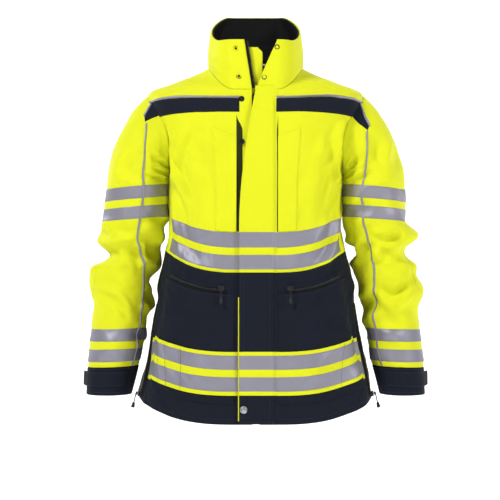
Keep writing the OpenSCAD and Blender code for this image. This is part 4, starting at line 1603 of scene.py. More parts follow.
@dataclass
class Collar:
    """The stand collar with its lining, wind guard and hanger loop."""

    tailor: Tailor
    form: CollarForm
    front: FrontForm
    guard_depth: float = -8.0

    def build(self) -> None:
        """Makes the collar."""
        form = self.form

        def outside(u: Array, h: Array) -> Spot:
            """Runs from the left front edge round the back to the right one."""
            return mix(form.left_edge(h), form.right_edge(h), u), h

        def inside(u: Array, h: Array) -> Spot:
            """As the outside, short of the zip's tapes."""
            inset = form.body.turn_for(7)
            return mix(form.left_edge(h) + inset, form.right_edge(h) - inset, u), h

        columns = steps(0, 420, 2.8) / 420
        rows = steps(0.0, 96, 2.4) / 96
        self.tailor.lay(
            Cut(
                "collar_cloth", form, columns, rows, outside, Finish.YELLOW, 0.6, 2.6, roll=1.0,
                nodes=["collar_shell"]
            ),
            "shell"
        )
        self.tailor.lay(
            Cut(
                "collar_lining_cloth", form, columns, steps(4, 95, 3) / 96, inside, Finish.LINING, -2.8, 2.4,
                roll=1.5, nodes=["collar_lining"]
            ),
            "shell"
        )
        key = ("collar_stitches", Finish.THREAD_YELLOW, "shell")
        u = np.linspace(0.012, 0.988, 260)
        for h in (0.03, 0.94):
            a, b = outside(u, np.full(260, h))
            self.tailor.sew(key, form, a, b, 0.15)
        h = np.linspace(0.05, 0.93, 40)
        for k in (0.012, 0.988):
            a, b = outside(np.full(40, k), h)
            self.tailor.sew(key, form, a, b, 0.15)

        def guard(u: Array, h: Array) -> Spot:
            """The strip behind the zip, with a chamfered top corner."""
            left = 13 - 9 * smooth((h - 0.74) / 0.12)
            return form.body.turn_for(mix(-24 + 8 * h, left, u)), h

        self.tailor.lay(
            Cut(
                "wind_guard_top", form, steps(0, 37, 2.4) / 37, steps(4, 82, 2.6) / 96, guard, Finish.YELLOW,
                self.guard_depth, 1.4, nodes=["wind_guard"]
            ),
            "shell"
        )

        foot = form.body.hem - 6
        self.tailor.lay(
            Cut(
                "wind_guard_strip", self.front, steps(-24, 13, 4), steps(foot, -42, 6), as_is, Finish.YELLOW,
                -7.4, 1.4
            ),
            "shell"
        )
        self.tailor.lay(
            Cut(
                "hanger_loop_strap", LoopForm(), np.linspace(-35, 35, 61), np.linspace(20, 28, 7), as_is,
                Finish.ZIP_TAPE, 0.0, 1.2, roll=0.6, nodes=["hanger_loop"]
            ),
            "shell", sheet=False
        )


@dataclass
class StormFlap:
    """The flap that closes over the zip, sewn down on the wearer's left."""

    tailor: Tailor
    form: FrontForm
    shell: Shell
    root: float = 36.0
    reach: float = 31.5
    top: float = -43.0
    waist: float = -398.0
    foot: float = -681.0
    height: float = 7.4
    thickness: float = 2.2
    bend: tuple = ("shell", "storm_flap", (0.041, 0, 0), (0.034, 0, 0))

    def edge(self, z: Array) -> Array:
        """Returns where the free edge is at height z."""
        return -mix(1.0, self.reach, smooth((-53 - np.asarray(z)) / 260) ** 0.5)

    def rise(self, x: Array, z: Array) -> Array:
        """Returns the outer face's height over the strip, low at the sewn root and at the top."""
        seam = np.exp(-(((z + 83.5 + 0.11 * (x + 3)) / 1.6) ** 2))
        height = self.height * mix(1, 0.45, smooth((np.asarray(z) + 86) / 40)) - 1.1 * seam
        return mix(height, 1.2, smooth((x - self.root + 5) / 8.5))

    def part(
        self, name: str, low: float, high: float, finish: Finish, above: float, **more: object
    ) -> bpy.types.Object:
        """Lays a part of the flap from its free edge to its root."""
        inset = more.pop("inset", 0.0)
        end = more.pop("end", self.root + 5)

        def place(u: Array, z: Array) -> Spot:
            """Runs from the free edge to the root."""
            return mix(self.edge(z) + inset, end, u), z

        def lift(u: Array, z: Array) -> Array:
            """Follows the flap's own height."""
            return self.rise(mix(self.edge(z) + inset, end, u), z) + above

        cut = Cut(
            name, self.form, steps(0, 70, 2.2) / 70, steps(low, high, 3), place, finish, 0.0,
            more.pop("thickness", self.thickness), lift=lift, held=Held.HUNG, **more
        )
        return attach(self.tailor.lay(cut, None, sheet=finish is not Finish.SILVER), self.bend)

    def build(self) -> None:
        """Makes the flap, its tapes, its yellow edge and its stitches."""
        self.part(
            "storm_flap_upper_cloth", self.waist, self.top, Finish.YELLOW, 0.0, nodes=["storm_flap_upper"]
        )
        self.part(
            "storm_flap_lower_cloth", self.foot, self.waist, Finish.NAVY, 0.0, nodes=["storm_flap_lower"]
        )
        self.part(
            "storm_flap_facing_edge", self.foot + 6, self.waist - 46, Finish.YELLOW, -1.5, inset=-1.9,
            end=-10.0, thickness=0.7, roll=0.4
        )
        first = ["flap_tapes"]
        shell = self.shell
        for word, top, gap in (
            ("waist", shell.waist_tape, shell.waist_gap), ("hem", shell.hem_tape, shell.hem_gap)
        ):
            for number in range(2):
                high = top - number * (shell.tape_width + gap)
                low = high - shell.tape_width
                dip_low = float(shell.body.dip(np.float64(low)))
                dip_high = float(shell.body.dip(np.float64(high)))
                self.part(
                    f"flap_tape_{word}_{number + 1}", low - dip_low, high - dip_high, Finish.SILVER, 1.0,
                    thickness=1.0, nodes=first
                )
                first = []
        low, high = shell.hem_band()
        dips = [float(shell.body.dip(np.float64(s))) for s in (low, high)]
        self.part("flap_hem_backing", low - dips[0], high - dips[1], Finish.YELLOW, 0.5, thickness=1.0)
        for finish, word, high, low in (
            (Finish.THREAD_YELLOW, "upper", self.top - 4, self.waist + 4),
            (Finish.THREAD_NAVY, "lower", self.waist - 4, self.foot + 5)
        ):
            key = (f"flap_stitches_{word}", finish, self.bend)
            z = np.linspace(high, low, 160)
            for x in (self.edge(z) + 3.0, self.edge(z) + 9.0, np.full(160, 26.0), np.full(160, 38.5)):
                line = self.form.skin(x, z, self.rise(x, z) + 0.15)
                self.tailor.stitch(key, line, self.form.normal(x, z))
            for y in (high, low) if word == "upper" else (low,):
                x = np.linspace(float(self.edge(np.float64(y))) + 3, 38, 40)
                line = self.form.skin(x, np.full(40, y), self.rise(x, np.full(40, y)) + 0.15)
                self.tailor.stitch(key, line, self.form.normal(x, np.full(40, y)))


@dataclass
class Sleeve:
    """One sleeve in three lengths that meet at the shoulder and elbow, with tapes, piping and cuff."""

    tailor: Tailor
    form: SleeveForm
    tape_width: float = 24.0
    arm_tapes: tuple = (-232.0, -271.0)
    forearm_tapes: tuple = (-507.0, -546.0)
    cap_end: float = -283.0
    middle_end: float = -519.0
    tab_turns: tuple = (2.0, 128.0)
    tab_rows: tuple = (-588.0, -616.0)
    columns: int = 132

    @property
    def word(self) -> str:
        """The side's name."""
        return self.form.side.word

    def shoulder_bend(self) -> tuple:
        """Returns the blend of everything above the elbow section."""
        s = self.form.side.value
        start = np.array([0.126 * s, 0, -0.220])
        end = start + 0.085 * np.array([0.5 * s, 0, -0.866])
        return ("shell", f"upper_sleeve_{self.word}", tuple(start), tuple(end))

    def elbow_bend(self) -> tuple:
        """Returns the blend of the elbow section."""
        return (f"upper_sleeve_{self.word}", f"forearm_{self.word}", (0, 0, -0.340), (0, 0, -0.432))

    def rows_between(self, high: float, low: float, pitch: float = 3.0, cap: bool = False) -> Array:
        """Returns grid rows down the sleeve, starting at the armhole if cap."""
        rows = steps(self.form.down(high), self.form.down(low), pitch)
        if cap:
            rows = np.concatenate([np.linspace(-0.997, -0.02, 44), rows[rows > 0.5]])
        return rows

    def tube(
        self, name: str, rows: Array, finish: Finish, outer: float, thick: float, ride: object,
        **more: object
    ) -> None:
        """Lays a closed tube of cloth round the arm."""
        columns = more.pop("columns", np.linspace(0, 360, self.columns + 1))
        closed = more.pop("closed", True)

        sheet = more.pop("sheet", True)
        cut = Cut(
            name, self.form, columns, rows, more.pop("place", as_is), finish, outer, thick, closed=closed,
            mirrored=self.form.side is Side.RIGHT, held=Held.HUNG, **more
        )
        attach(self.tailor.lay(cut, None, sheet=sheet), ride)

    def piping(self, name: str, rows: Array, ride: object, nodes: Sequence[str]) -> None:
        """Lays the reflective piping that runs down the front of the sleeve."""

        def place(u: Array, q: Array) -> Spot:
            """Follows the front seam."""
            return self.seam(q) + u, q

        self.tube(
            name, rows, Finish.SILVER, 0.9, 1.6, ride, columns=np.linspace(-1.9, 1.9, 8), closed=False,
            place=place, roll=0.0, lift=lambda u, q: 1.5 * np.sqrt(np.clip(1 - (u / 2.0) ** 2, 0, 1)),
            sheet=False, nodes=nodes
        )

    def build(self) -> None:
        """Makes the sleeve."""
        form, w = self.form, self.word
        top, bend, fore = self.shoulder_bend(), self.elbow_bend(), f"forearm_{w}"
        self.tube(
            f"sleeve_cap_{w}", self.rows_between(form.start, self.cap_end, cap=True), Finish.YELLOW, 0, 1.6,
            top, nodes=[f"sleeve_{w}"]
        )
        self.tube(
            f"sleeve_elbow_{w}", self.rows_between(self.cap_end, self.middle_end), Finish.YELLOW, 0, 1.6,
            bend, nodes=[f"forearm_{w}"], roll=0.0
        )
        self.tube(
            f"sleeve_forearm_{w}", self.rows_between(self.middle_end, form.cuff_seam), Finish.YELLOW, 0, 1.6,
            fore
        )
        self.tube(
            f"cuff_{w}_cloth", self.rows_between(form.cuff_seam, form.cuff_end, 2.6), Finish.NAVY, 0.6, 2.6,
            fore, nodes=[f"cuff_{w}"], roll=1.4
        )
        self.tube(
            f"cuff_lining_{w}", self.rows_between(-520, form.cuff_end + 5, 5), Finish.LINING, -2.6, 0.8, fore
        )
        for number, z in enumerate(self.arm_tapes):
            rows = steps(form.down(z), form.down(z) + self.tape_width, 3)
            self.tube(
                f"arm_tape_{number + 1}_{w}", rows, Finish.SILVER, 0.9, 1.1, top, sheet=False,
                nodes=[f"arm_tapes_{w}"] if number == 0 else []
            )
            self.ring_stitches(z, top, f"arm_tape_stitches_{w}")
        for number, z in enumerate(self.forearm_tapes):
            rows = steps(form.down(z), form.down(z) + self.tape_width, 3)
            self.tube(
                f"forearm_tape_{number + 1}_{w}", rows, Finish.SILVER, 0.9, 1.1, fore, sheet=False,
                nodes=[f"forearm_tapes_{w}"] if number == 0 else []
            )
            self.ring_stitches(z, fore, f"forearm_tape_stitches_{w}")
        self.band_end(top)
        cap_rows = np.concatenate(
            [
                np.linspace(BAND_ENDS[form.side][1][-1][1], -0.02, 40),
                steps(form.down(form.start - 1), form.down(-297.5), 3)
            ]
        )
        self.piping(f"sleeve_piping_top_{w}", cap_rows, top, [f"sleeve_piping_{w}"])
        self.piping(
            f"sleeve_piping_elbow_{w}", self.rows_between(-297.5, -506), bend, [f"forearm_piping_{w}"]
        )
        self.piping(f"sleeve_piping_low_{w}", self.rows_between(-506, form.cuff_seam + 1), fore, [])
        self.elbow_patch(bend)
        self.tab()
        p = np.linspace(0, 360, 200)
        for z, finish, ride, off in (
            (form.cuff_seam + 3, Finish.THREAD_YELLOW, fore, 0.15),
            (form.cuff_seam - 4, Finish.THREAD_NAVY, fore, 0.75),
            (form.cuff_end + 6, Finish.THREAD_NAVY, fore, 0.75)
        ):
            word = "yellow" if finish is Finish.THREAD_YELLOW else "navy"
            self.tailor.sew((f"cuff_stitches_{word}_{w}", finish, ride), form, p, form.down(z), off)
        self.tailor.sew((f"armhole_stitches_{w}", Finish.THREAD_YELLOW, top), form, p, -0.965, 0.15)

    def ring_stitches(self, z: float, ride: object, name: str) -> None:
        """Sews both edges of a tape round the arm."""
        p = np.linspace(0, 360, 180)
        for q in (self.form.down(z) + 1.8, self.form.down(z) + self.tape_width - 1.8):
            self.tailor.sew((name, Finish.THREAD_GREY, ride), self.form, p, q, 1.02)

    def seam(self, q: Array) -> Array:
        """Returns the front seam's turn: from the chest band's end round and down to the cuff."""
        rows = np.array(PIPING_PATHS[self.form.side])
        y = self.form.drop(np.asarray(q, float))
        return np.clip(curve(rows, np.clip(y, rows[0, 0], rows[-1, 0]), 1), 55, 150)

    def band_end(self, ride: object) -> None:
        """Carries the chest band and its piping onto the cap, narrowing down to the sleeve's piping."""
        form = self.form
        upper, lower = BAND_ENDS[form.side]

        def along(points: Sequence, k: Array, side: int) -> Array:
            """Reads a line of (turn, q) points at the share k."""
            spread = np.linspace(0, 1, len(points))
            return np.interp(k, spread, [point[side] for point in points])

        def place(u: Array, v: Array) -> Spot:
            """Runs from the armhole out over the cap."""
            p = mix(along(lower, u, 0), along(upper, u, 0), v)
            return p, mix(along(lower, u, 1), along(upper, u, 1), v)

        def bead(u: Array, v: Array) -> Spot:
            """Runs along the band's upper edge."""
            return along(upper, u, 0) - 3.4 * v, along(upper, u, 1)

        self.tube(
            f"chest_band_end_{self.word}", np.linspace(0, 1, 9), Finish.NAVY, 1.2, 1.4, ride,
            columns=np.linspace(0, 1, 19), closed=False, place=place, sheet=False
        )
        self.tube(
            f"chest_piping_end_{self.word}", np.linspace(0, 1, 7), Finish.SILVER, 1.0, 1.4, ride,
            columns=np.linspace(0, 1, 19), closed=False, place=bead, roll=0.0, sheet=False, lift=lambda u,
            v: 1.5 * np.sin(np.pi * v) ** 0.6
        )

    def elbow_patch(self, ride: object) -> None:
        """Lays the reinforcing patch over the elbow, rounded at both ends."""
        form = self.form

        def place(u: Array, v: Array) -> Spot:
            """Spreads over the back and outer side, narrower at its ends."""
            p = mix(-166, 34, u)
            bow = np.sin(np.pi * np.clip(u, 0.0, 1)) ** 0.7
            high = mix(-372, -330, bow)
            low = mix(-424, -470, bow)
            return p, form.down(mix(high, low, v))

        columns = steps(0, 230, 3) / 230
        rows = steps(0, 140, 3) / 140
        self.tube(
            f"elbow_patch_{self.word}", rows, Finish.YELLOW, 1.0, 1.3, ride, columns=columns, closed=False,
            place=place, roll=1.2
        )
        key = (f"elbow_stitches_{self.word}", Finish.THREAD_YELLOW, ride)
        u = np.linspace(0.02, 0.98, 160)
        for k in (0.025, 0.975):
            a, b = place(u, np.full(160, k))
            self.tailor.sew(key, form, a, b, 1.15)

    def tab(self) -> None:
        """Makes the cuff's tab and the hook patch that it closes on."""
        form, w = self.form, self.word
        p0, p1 = self.tab_turns
        z0, z1 = self.tab_rows

        def place(u: Array, v: Array) -> Spot:
            """Runs from the free end to the sewn end, with a curved lower edge."""
            low = z1 - 3.0 * np.sin(np.pi * np.clip(u, 0, 1))
            return mix(p0 - 9, p1, u), form.down(mix(z0, low, v))

        def lift(u: Array, v: Array) -> Array:
            """Lets the free end stand away from the cuff."""
            return 5.5 * np.clip(1 - u / 0.2, 0, 1) ** 1.5

        columns = steps(0, 104, 2.4) / 104
        self.tube(
            f"cuff_tab_{w}_cloth", steps(0, 28, 2.2) / 28, Finish.NAVY_TAB, 3.0, 2.0, f"cuff_tab_{w}",
            columns=columns, closed=False, place=place, lift=lift, nodes=[f"cuff_tab_{w}"], roll=1.2
        )
        key = (f"cuff_tab_stitches_{w}", Finish.THREAD_NAVY, f"cuff_tab_{w}")
        u = np.linspace(0.22, 0.97, 70)
        for k in (0.09, 0.91):
            a, b = place(u, np.full(70, k))
            self.tailor.sew(key, form, a, b, 3.15)

        def hooks(u: Array, v: Array) -> Spot:
            """The patch of hooks on the cuff's outer side."""
            return mix(-58, 22, u), form.down(mix(z0 - 2, z1 + 2, v))

        self.tube(
            f"cuff_hooks_{w}", steps(0, 24, 2.4) / 24, Finish.HOOKS, 1.4, 0.9, f"forearm_{w}",
            columns=steps(0, 60, 2.4) / 60, closed=False, place=hooks, sheet=False
        )


@dataclass
class Closures:
    """The zips' hard parts and the snaps."""

    wardrobe: Wardrobe
    body: BodyForm
    front: FrontForm
    collar: CollarForm
    tailor: Tailor
    zip_top: float = -58.0
    zip_depth: float = 3.0
    flap_snaps: tuple = (-150.0, -245.0, -340.0, -435.0, -530.0, -652.0)
    slider_lift: float = 5.3
    pin_lift: float = 5.2

    def frame(self, form: Form, a: float, b: float) -> tuple[Array, Array, Array, Array]:
        """Returns a place on a form and its across, up and outward directions."""
        middle = form.at(np.float64(a), np.float64(b))
        normal = unit(form.normal(np.float64(a), np.float64(b)))
        along = unit(np.cross(np.array([0, 0, 1.0]), normal))
        return middle, along, np.cross(normal, along), normal

    def stud(self) -> bpy.types.Object:
        """Models a ring snap's stud: a rolled ring and a waisted post."""
        profile = [
            (0, 0), (5.3, 0), (5.5, 0.35), (5.2, 0.85), (4.6, 1.0), (4.0, 0.7), (2.7, 0.7), (2.2, 1.0)
        ]
        profile += [(2.0, 2.2), (2.25, 2.8), (2.0, 3.3), (1.3, 3.4), (1.0, 3.0), (0, 3.0)]
        return turned(profile)

    def cap(self) -> bpy.types.Object:
        """Models a snap's plain domed cap with a rolled rim."""
        profile = [(0, 0), (6.9, 0), (7.1, 0.5), (6.8, 1.2), (6.2, 1.4), (5.7, 1.1), (5.2, 1.1), (4.4, 1.7)]
        profile += [(2.6, 2.2), (0, 2.35)]
        return turned(profile, sides=44)

    def socket(self) -> bpy.types.Object:
        """Models a snap's socket: a low rolled ring round a hole."""
        profile = [(0, 0), (5, 0), (5.1, 0.8), (4.7, 1.5), (3.9, 1.7), (3.2, 1.3), (3.0, 0.5), (0, 0.5)]
        return turned(profile)

    def snaps(self) -> None:
        """Puts the snaps on the collar, front and flap."""
        turn = self.body.turn_for
        spots = [
            (self.collar, 360 - turn(38), 0.81), (self.collar, 360 - turn(32), 0.26), (self.front, -27, -68)
        ]
        spots += [(self.front, -26, z) for z in self.flap_snaps]
        studs = []
        for form, a, b in spots:
            middle, along, up, normal = self.frame(form, a, b)
            bulge = 2.2 * np.sin(np.pi * b) + 0.2 if form is self.collar else 0.3
            studs.append(stood(self.stud(), middle + bulge * normal, along, up, normal))
        piece = joined("snap_stud_rings", studs)
        self.wardrobe.issue(piece, Finish.METAL, "shell", "snap_studs")
        caps = []
        for h in (0.24, 0.84):
            a = self.collar.left_edge(h) + turn(7)
            middle, along, up, normal = self.frame(self.collar, a, h)
            caps.append(
                stood(self.socket(), middle + (2.2 * np.sin(np.pi * h) + 0.1) * normal, along, up, normal)
            )
        piece = joined("collar_snap_sockets", caps)
        self.wardrobe.issue(piece, Finish.METAL, "shell")
        parts = []
        for z in self.flap_snaps:
            middle, along, up, normal = self.frame(self.front, -26, z)
            parts.append(stood(self.socket(), middle + 5.4 * normal, along, -up, -normal))
        piece = joined("flap_snap_sockets", parts)
        self.wardrobe.issue(piece, Finish.METAL, "storm_flap", "flap_snaps")
        middle, along, up, normal = self.frame(self.front, -23, -654)
        piece = stood(self.cap(), middle + 7.2 * normal, along, up, normal)
        piece.name = "hem_snap_cap"
        self.wardrobe.issue(piece, Finish.STEEL, "storm_flap")

    def main_zip(self) -> None:
        """Makes the main zip: tapes, moulded teeth and bottom box."""
        foot = self.body.hem - 12

        first = ["zip_tapes"]
        for side in Side:
            low, high = sorted((2.2 * side.value, 16.0 * side.value))
            self.tailor.lay(
                Cut(
                    f"main_zip_tape_{side.word}", self.front, steps(low, high, 2.5),
                    steps(foot, self.zip_top, 6), as_is, Finish.ZIP_TAPE, -2.7, 0.7, nodes=first, roll=0.0
                ),
                "shell", sheet=False
            )
            first = []
        turn = self.body.turn_for
        edges = (
            ("right", lambda h: self.collar.right_edge(h), -9.0, 5.5),
            ("left", lambda h: self.collar.left_edge(h), 0.8, 10.0)
        )
        tooth = block((2.4, 3.4, 2.6), (0, 0, 0), 0.5)
        bpy.context.view_layer.objects.active = tooth
        shape, faces = taken(tooth)
        middle, along, normal = [], [], []
        for side in Side:
            z = np.arange(foot + 2, self.zip_top, 4.4) + (1.1 if side is Side.RIGHT else -1.1)
            middle.append(
                self.front.skin(np.full(len(z), 1.3 * side.value), z, np.full(len(z), -self.zip_depth))
            )
            normal.append(self.front.normal(z * 0, z))
            along.append(
                np.tile(
                    [[0, np.sin(np.arctan(-self.body.lean)), np.cos(np.arctan(self.body.lean))]], (len(z), 1)
                )
            )
        for word, edge, low, high in edges:

            def on_edge(u: Array, h: Array, edge: Callable = edge) -> Spot:
                """Lies along a front edge of the collar."""
                return edge(h) + turn(u), h

            self.tailor.lay(
                Cut(
                    f"collar_zip_tape_{word}", self.collar, steps(low, high, 2), steps(3, 95, 3) / 96,
                    on_edge, Finish.ZIP_TAPE, -2.5, 0.7, roll=0.0
                ),
                "shell", sheet=False
            )
            h = np.linspace(0.04, 0.985, 200)
            out = 6.0 if word == "right" else 2.6
            a = edge(h) + turn(out)
            line = self.collar.skin(a, h, np.full(200, -2.8))
            up = self.collar.normal(a, h)
            far = lengths(line)
            at = np.arange(1, far[-1], 4.4)
            middle.append(read(at, far, line))
            normal.append(unit(read(at, far, up)))
            along.append(heading(at, far, line, 1))
        piece = repeat(
            "main_zip_teeth", shape, faces, np.concatenate(middle), np.concatenate(along),
            np.concatenate(normal)
        )
        self.wardrobe.issue(piece, Finish.PLASTIC, "shell", "zip_teeth")
        origin, along_x, up, out = self.frame(self.front, 0, 0)
        parts = [
            stood(
                block((10, 12, 3.4), (0, 0, 0), 0.8), origin + (foot - 7) * up - 3 * out, along_x, up, out
            ),
            stood(block((6, 3, 4.2), (0, 0, 0), 0.7), origin + (foot - 3) * up - 3 * out, along_x, up, out)
        ]
        box = joined("main_zip_box", parts)
        self.wardrobe.issue(box, Finish.PLASTIC, "shell")

    def small_pull(self, name: str, spot: tuple[float, float], side: Side, wide: float, tall: float) -> None:
        """Makes a coil zip's slider and its cord pull with a moulded end."""
        form = self.body
        middle, along, up, normal = self.frame(form, spot[0] * side.value, spot[1])
        lift = self.slider_lift
        wedge = block((wide, tall, 2.2), (0, 0, 1.2), 0.7)
        bridge = block((3.4, 2.2, 2.0), (0, 0, 3.1), 0.6)
        foot = block((2.0, tall * 0.7, 1.4), (0, 0, 4.6), 0.5)
        base = block((wide * 0.7, tall * 0.9, 3.4), (0, 0, -1.6), 0.7)
        slider = joined(f"{name}_slider_{side.word}_body", [wedge, bridge, foot, base])
        slider = stood(slider, middle + (lift - 1.2) * normal, along, up, normal)
        self.wardrobe.issue(
            slider, Finish.PLASTIC, f"{name}_slider_{side.word}", f"{name}_slider_{side.word}"
        )
        loop = new_shape("torus", major_radius=2.3, minor_radius=0.75, major_segments=36, minor_segments=10)
        for vertex in loop.data.vertices:
            if vertex.co.y < 0:
                vertex.co.y -= 16.5 * smooth(np.float64(-vertex.co.y / 1.2))
                vertex.co.x *= 0.62
        bpy.ops.object.shade_smooth_by_angle(angle=np.radians(60))
        profile = [
            (0, 0), (2.6, 0), (3.3, 0.7), (3.4, 2.6), (3.1, 4.5), (2.9, 5.0), (3.0, 5.6), (2.6, 8.6),
            (2.0, 10.2)
        ]
        profile += [(1.0, 10.8), (0, 10.9)]
        end = turned(profile)
        end.data.transform(Matrix.Rotation(np.radians(-90), 4, "X"))
        end.data.transform(Matrix.Translation((0, -28.8, 0)))
        tilt = np.radians(2)
        hang = joined(f"{name}_pull_{side.word}_cord", [loop, end])
        hang_up = np.cos(tilt) * up - np.sin(tilt) * normal
        hang = stood(
            hang, middle + (lift + self.pin_lift) * normal, along, hang_up, np.cross(along, hang_up)
        )
        self.wardrobe.issue(hang, Finish.CORD, f"{name}_pull_{side.word}", f"{name}_pull_{side.word}")

    def build(self) -> None:
        """Makes the closures."""
        self.main_zip()
        self.snaps()
        for side in Side:
            self.small_pull("pocket", (15.5, -387.0), side, 11.0, 8.0)
            self.small_pull("side", (self.body.side_zip_turn, self.body.hem + 9), side, 8.0, 11.0)


@dataclass
class Studio:
    """A white backdrop, a pale floor, soft lights and the camera."""

    view_width: float = 0.95
    distance: float = 3.2
    centre: tuple = (-0.011, -0.1, -0.355)
    floor_z: float = -1.45

    def light(self, name: str, at: tuple, size: float, power: float) -> None:
        """Adds one soft light aimed at the coat."""
        data = bpy.data.lights.new(name, "AREA")
        data.shape = "DISK"
        data.size = size
        data.energy = power
        lamp = bpy.data.objects.new(name, data)
        lamp.location = at
        aim = Vector(self.centre) - Vector(at)
        lamp.rotation_mode = "QUATERNION"
        lamp.rotation_quaternion = aim.to_track_quat("-Z", "Y")
        bpy.context.scene.collection.objects.link(lamp)

    def build(self) -> None:
        """Sets the stage, lights and camera."""
        stage = new_shape("grid", x_subdivisions=2, y_subdivisions=40, size=2)
        stage.name = "backdrop"
        for vertex in stage.data.vertices:
            along = (vertex.co.y + 1) / 2
            bend = np.clip((along - 0.55) / 0.15, 0, 1) * np.pi / 2
            flat = min(along, 0.55) / 0.55 * 6.5 - 5.0
            y = flat + 1.2 * np.sin(bend)
            z = self.floor_z + 1.2 * (1 - np.cos(bend)) + max(0.0, along - 0.7) / 0.3 * 5
            vertex.co = (vertex.co.x * 7, y + 0.6, z)
        bpy.ops.object.shade_smooth_by_angle(angle=np.radians(60))
        paper, _, shader = new_material("backdrop_paper")
        fill(shader, {"Base Color": (0.93, 0.93, 0.93, 1), "Roughness": 0.9})
        fill(shader, {"Emission Color": (1, 1, 1, 1), "Emission Strength": 0.6})
        stage.data.materials.append(paper)
        world = bpy.data.worlds.new("studio")
        world.use_nodes = True
        fill(world.node_tree.nodes["Background"], {"Color": (1, 1, 1, 1), "Strength": 0.15})
        bpy.context.scene.world = world
        self.light("key", (-1.7, -1.7, 1.9), 0.7, 82)
        self.light("fill", (2.4, -1.4, 0.9), 0.8, 42)
        self.light("low", (0.0, -3.2, -0.5), 1.2, 9)
        self.light("back_left", (-1.8, 1.6, 0.9), 1.2, 13)
        self.light("back_right", (1.8, 1.6, 0.6), 1.2, 12)
        data = bpy.data.cameras.new("camera")
        data.sensor_width = 36
        data.lens = 36 * self.distance / self.view_width
        camera = bpy.data.objects.new("camera", data)
        camera.location = (self.centre[0], self.centre[1] - self.distance, self.centre[2])
        camera.rotation_euler = (np.pi / 2, 0, 0)
        bpy.context.scene.collection.objects.link(camera)
        bpy.context.scene.camera = camera
        bpy.context.scene.view_settings.view_transform = "Standard"


# ---------------------------------------------------------------- how this coat hangs

BODY_CREASES = creases(
    (176, -92, 168, -215, 13, -8.0, 4), (150, -100, 140, -190, 14, 5.0, 6),
    (120, -112, 148, -170, 12, -4.0, -4), (-174, -98, -168, -205, 12, -7.0, -4),
    (-118, -102, -164, -190, 12, 5.0, 6), (-92, -108, -142, -184, 11, -4.0, -5),
    (-60, -230, -120, -290, 16, 3.5, 6), (60, -200, 76, -290, 15, -3.0, 5),
    (96, -440, 150, -480, 13, 4.0, 6), (70, -470, 140, -500, 12, -3.5, 5),
    (-96, -450, -140, -500, 14, 3.5, -6), (-205, -205, -120, -262, 16, 7.1, 13),
    (-212, -185, -150, -150, 14, 5.1, -8), (-200, -235, -150, -330, 19, 5.4, -10),
    (-140, -130, -95, -265, 20, 4.1, 10), (210, -205, 128, -256, 16, 6.8, -13),
    (205, -180, 150, -140, 14, 4.8, 8), (195, -240, 160, -335, 18, 5.1, 10),
    (128, -120, 100, -250, 20, 3.4, -8), (-190, -338, -95, -362, 12, 4.4, 8),
    (190, -340, 110, -366, 12, 4.1, -8), (-150, -400, -170, -640, 30, 7.1, 8),
    (-75, -420, -85, -640, 32, 4.4, -8), (145, -400, 168, -640, 30, 6.8, -8),
    (70, -430, 84, -640, 32, 4.1, 8), (-215, -380, -230, -600, 25, 6.8, 0),
    (215, -380, 232, -600, 25, 6.8, 0), (330, -200, 420, -260, 20, 6.8, 13),
    (-330, -200, -420, -262, 20, 6.8, -13), (380, -120, 400, -300, 28, 5.1, 0),
    (-390, -130, -410, -310, 28, 5.1, 0), (470, -150, 480, -340, 32, 5.1, 10),
    (-480, -330, -360, -352, 15, 5.1, 8), (350, -345, 470, -360, 15, 5.1, -8),
    (400, -400, 420, -640, 32, 8.5, 8), (-400, -400, -425, -640, 32, 8.5, -8),
    (490, -400, 500, -640, 35, 6.8, 0)
)
BODY_RIPPLES = (Ripple(3, 130.0, 4.0), Ripple(11, 60.0, 1.6), Ripple(29, 300.0, 5.0))
LEFT_SLEEVE_CREASES = creases(
    (-78, 93, 57, 94, 16, 12.2, 4), (113, 114, 58, 100, 9, -8.8, -4), (-78, 148, 71, 140, 17, -15.0, -6),
    (98, 127, 60, 136, 12, 6.1, 5), (128, 123, 160, 169, 11, -10.5, -4), (121, 127, 122, 157, 11, 7.0, 4),
    (168, 137, 258, 139, 12, -14.0, 0), (168, 171, 258, 168, 20, 5.0, 0), (131, 229, 194, 245, 14, -12.0, 5),
    (179, 272, 258, 274, 14, 5.0, 0), (65, 188, 112, 221, 12, -8.8, 8), (52, 166, 99, 190, 14, 5.2, 6),
    (-78, 200, 76, 209, 25, 8.8, 5), (133, 210, 101, 240, 11, 5.2, -5), (85, -46, 58, -79, 12, -7.0, 4),
    (67, -43, 34, -73, 16, 4.5, 4), (115, -85, 155, -69, 11, -6.3, 3), (125, -44, 162, 1, 12, 6.0, 3),
    (29, -35, 0, 5, 22, 4.5, 5), (113, 49, 161, 65, 14, -5.2, 4), (139, 267, 87, 277, 16, -4.5, 5),
    (135, 298, 83, 304, 16, 3.5, 4), (97, 243, 64, 228, 11, 5.2, 4), (-134, 67, -168, 133, 19, 6.1, -8),
    (-168, 156, -67, 200, 19, -7.0, -8), (-168, 228, -67, 213, 19, 7.0, -8)
)
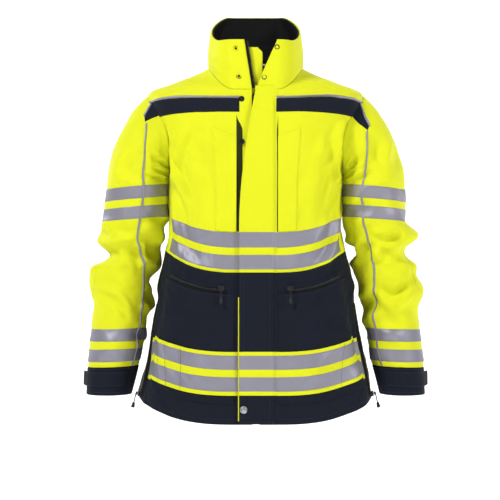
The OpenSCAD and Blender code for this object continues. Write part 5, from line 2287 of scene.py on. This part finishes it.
RIGHT_SLEEVE_CREASES = creases(
    (-78, 128, 96, 137, 16, -15.0, 8), (96, 137, 136, 159, 12, -10.5, -5), (53, 98, 101, 122, 14, 7.9, 6),
    (65, 112, 114, 126, 9, -5.2, 5), (138, 129, 185, 141, 12, -12.2, 4), (114, 92, 179, 114, 14, 7.0, -5),
    (157, 158, 258, 156, 20, 7.4, 0), (168, 200, 258, 196, 16, -7.0, 0), (154, 223, 196, 234, 12, -9.6, -4),
    (185, 240, 258, 240, 14, 7.5, 0), (202, 263, 224, 276, 19, -7.0, 5), (35, 204, 125, 248, 9, 4.5, -13),
    (45, 220, 123, 261, 9, -4.2, -13), (-67, 196, 82, 190, 31, 8.8, 0), (75, 155, 119, 210, 19, 4.5, 8),
    (115, -75, 166, -108, 11, -7.0, 3), (127, -36, 174, -14, 12, 6.1, -4), (78, -66, 92, -5, 16, -5.2, 5),
    (50, -55, 64, -3, 22, 4.2, 4), (18, 75, 74, 86, 12, 5.2, 3), (168, 92, 258, 99, 12, -7.0, 0),
    (113, 286, 184, 298, 14, -4.2, 4), (66, 313, 120, 305, 16, 3.5, 4), (-134, 67, -168, 133, 19, 6.1, 8),
    (-168, 156, -67, 200, 19, -7.0, 8), (-168, 228, -67, 213, 19, 7.0, 8)
)
PIPING_PATHS = {
    Side.LEFT: (
        (-108, 60), (-60, 93), (-10, 111), (60, 115), (149, 114), (240, 126), (315, 134), (420, 127)
    ),
    Side.RIGHT: (
        (-120, 55), (-60, 91), (0, 103), (60, 102), (112, 103), (165, 128), (240, 136), (315, 142),
        (420, 131)
    )
}
BAND_ENDS = {
    Side.LEFT: (
        ((41, -1.0), (46, -0.93), (51, -0.85), (55.5, -0.72)),
        ((61.5, -1.0), (63, -0.92), (63, -0.83), (60.5, -0.70))
    ),
    Side.RIGHT: (
        ((41, -1.0), (43.5, -0.94), (46, -0.88), (47.5, -0.82)),
        ((61.5, -1.0), (59, -0.92), (56, -0.85), (53, -0.785))
    )
}
SLEEVE_RIPPLES = {
    Side.LEFT: (Ripple(5, 110.0, 3.0), Ripple(17, 50.0, 0.4)),
    Side.RIGHT: (Ripple(8, 112.0, 3.0), Ripple(23, 52.0, 0.4))
}


def main() -> None:
    """Builds the coat round the frame, and the studio."""
    logging.basicConfig(level=logging.INFO, format="%(message)s")
    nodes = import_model()["nodes"]
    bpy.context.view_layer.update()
    bpy.ops.object.select_all(action="DESELECT")
    Studio().build()
    body = BodyForm(creases=BODY_CREASES, ripples=BODY_RIPPLES)
    collar = CollarForm(body, ripples=(Ripple(41, 55.0, 1.2),))
    front = FrontForm(body)
    wardrobe = Wardrobe()
    wardrobe.paint(nodes["main_zip_slider"], Finish.PLASTIC)
    wardrobe.paint(nodes["main_zip_puller"], Finish.CORD)
    tailor = Tailor(wardrobe)
    shell = Shell(tailor, body)
    shell.build()
    Collar(tailor, collar, front).build()
    StormFlap(tailor, FrontForm(body, sway=0.9), shell).build()
    for side, creases in ((Side.LEFT, LEFT_SLEEVE_CREASES), (Side.RIGHT, RIGHT_SLEEVE_CREASES)):
        Sleeve(tailor, SleeveForm(body, side, creases=creases, ripples=SLEEVE_RIPPLES[side])).build()
    Closures(wardrobe, body, front, collar, tailor).build()
    tailor.tie_off()


if __name__ == "__main__":
    main()
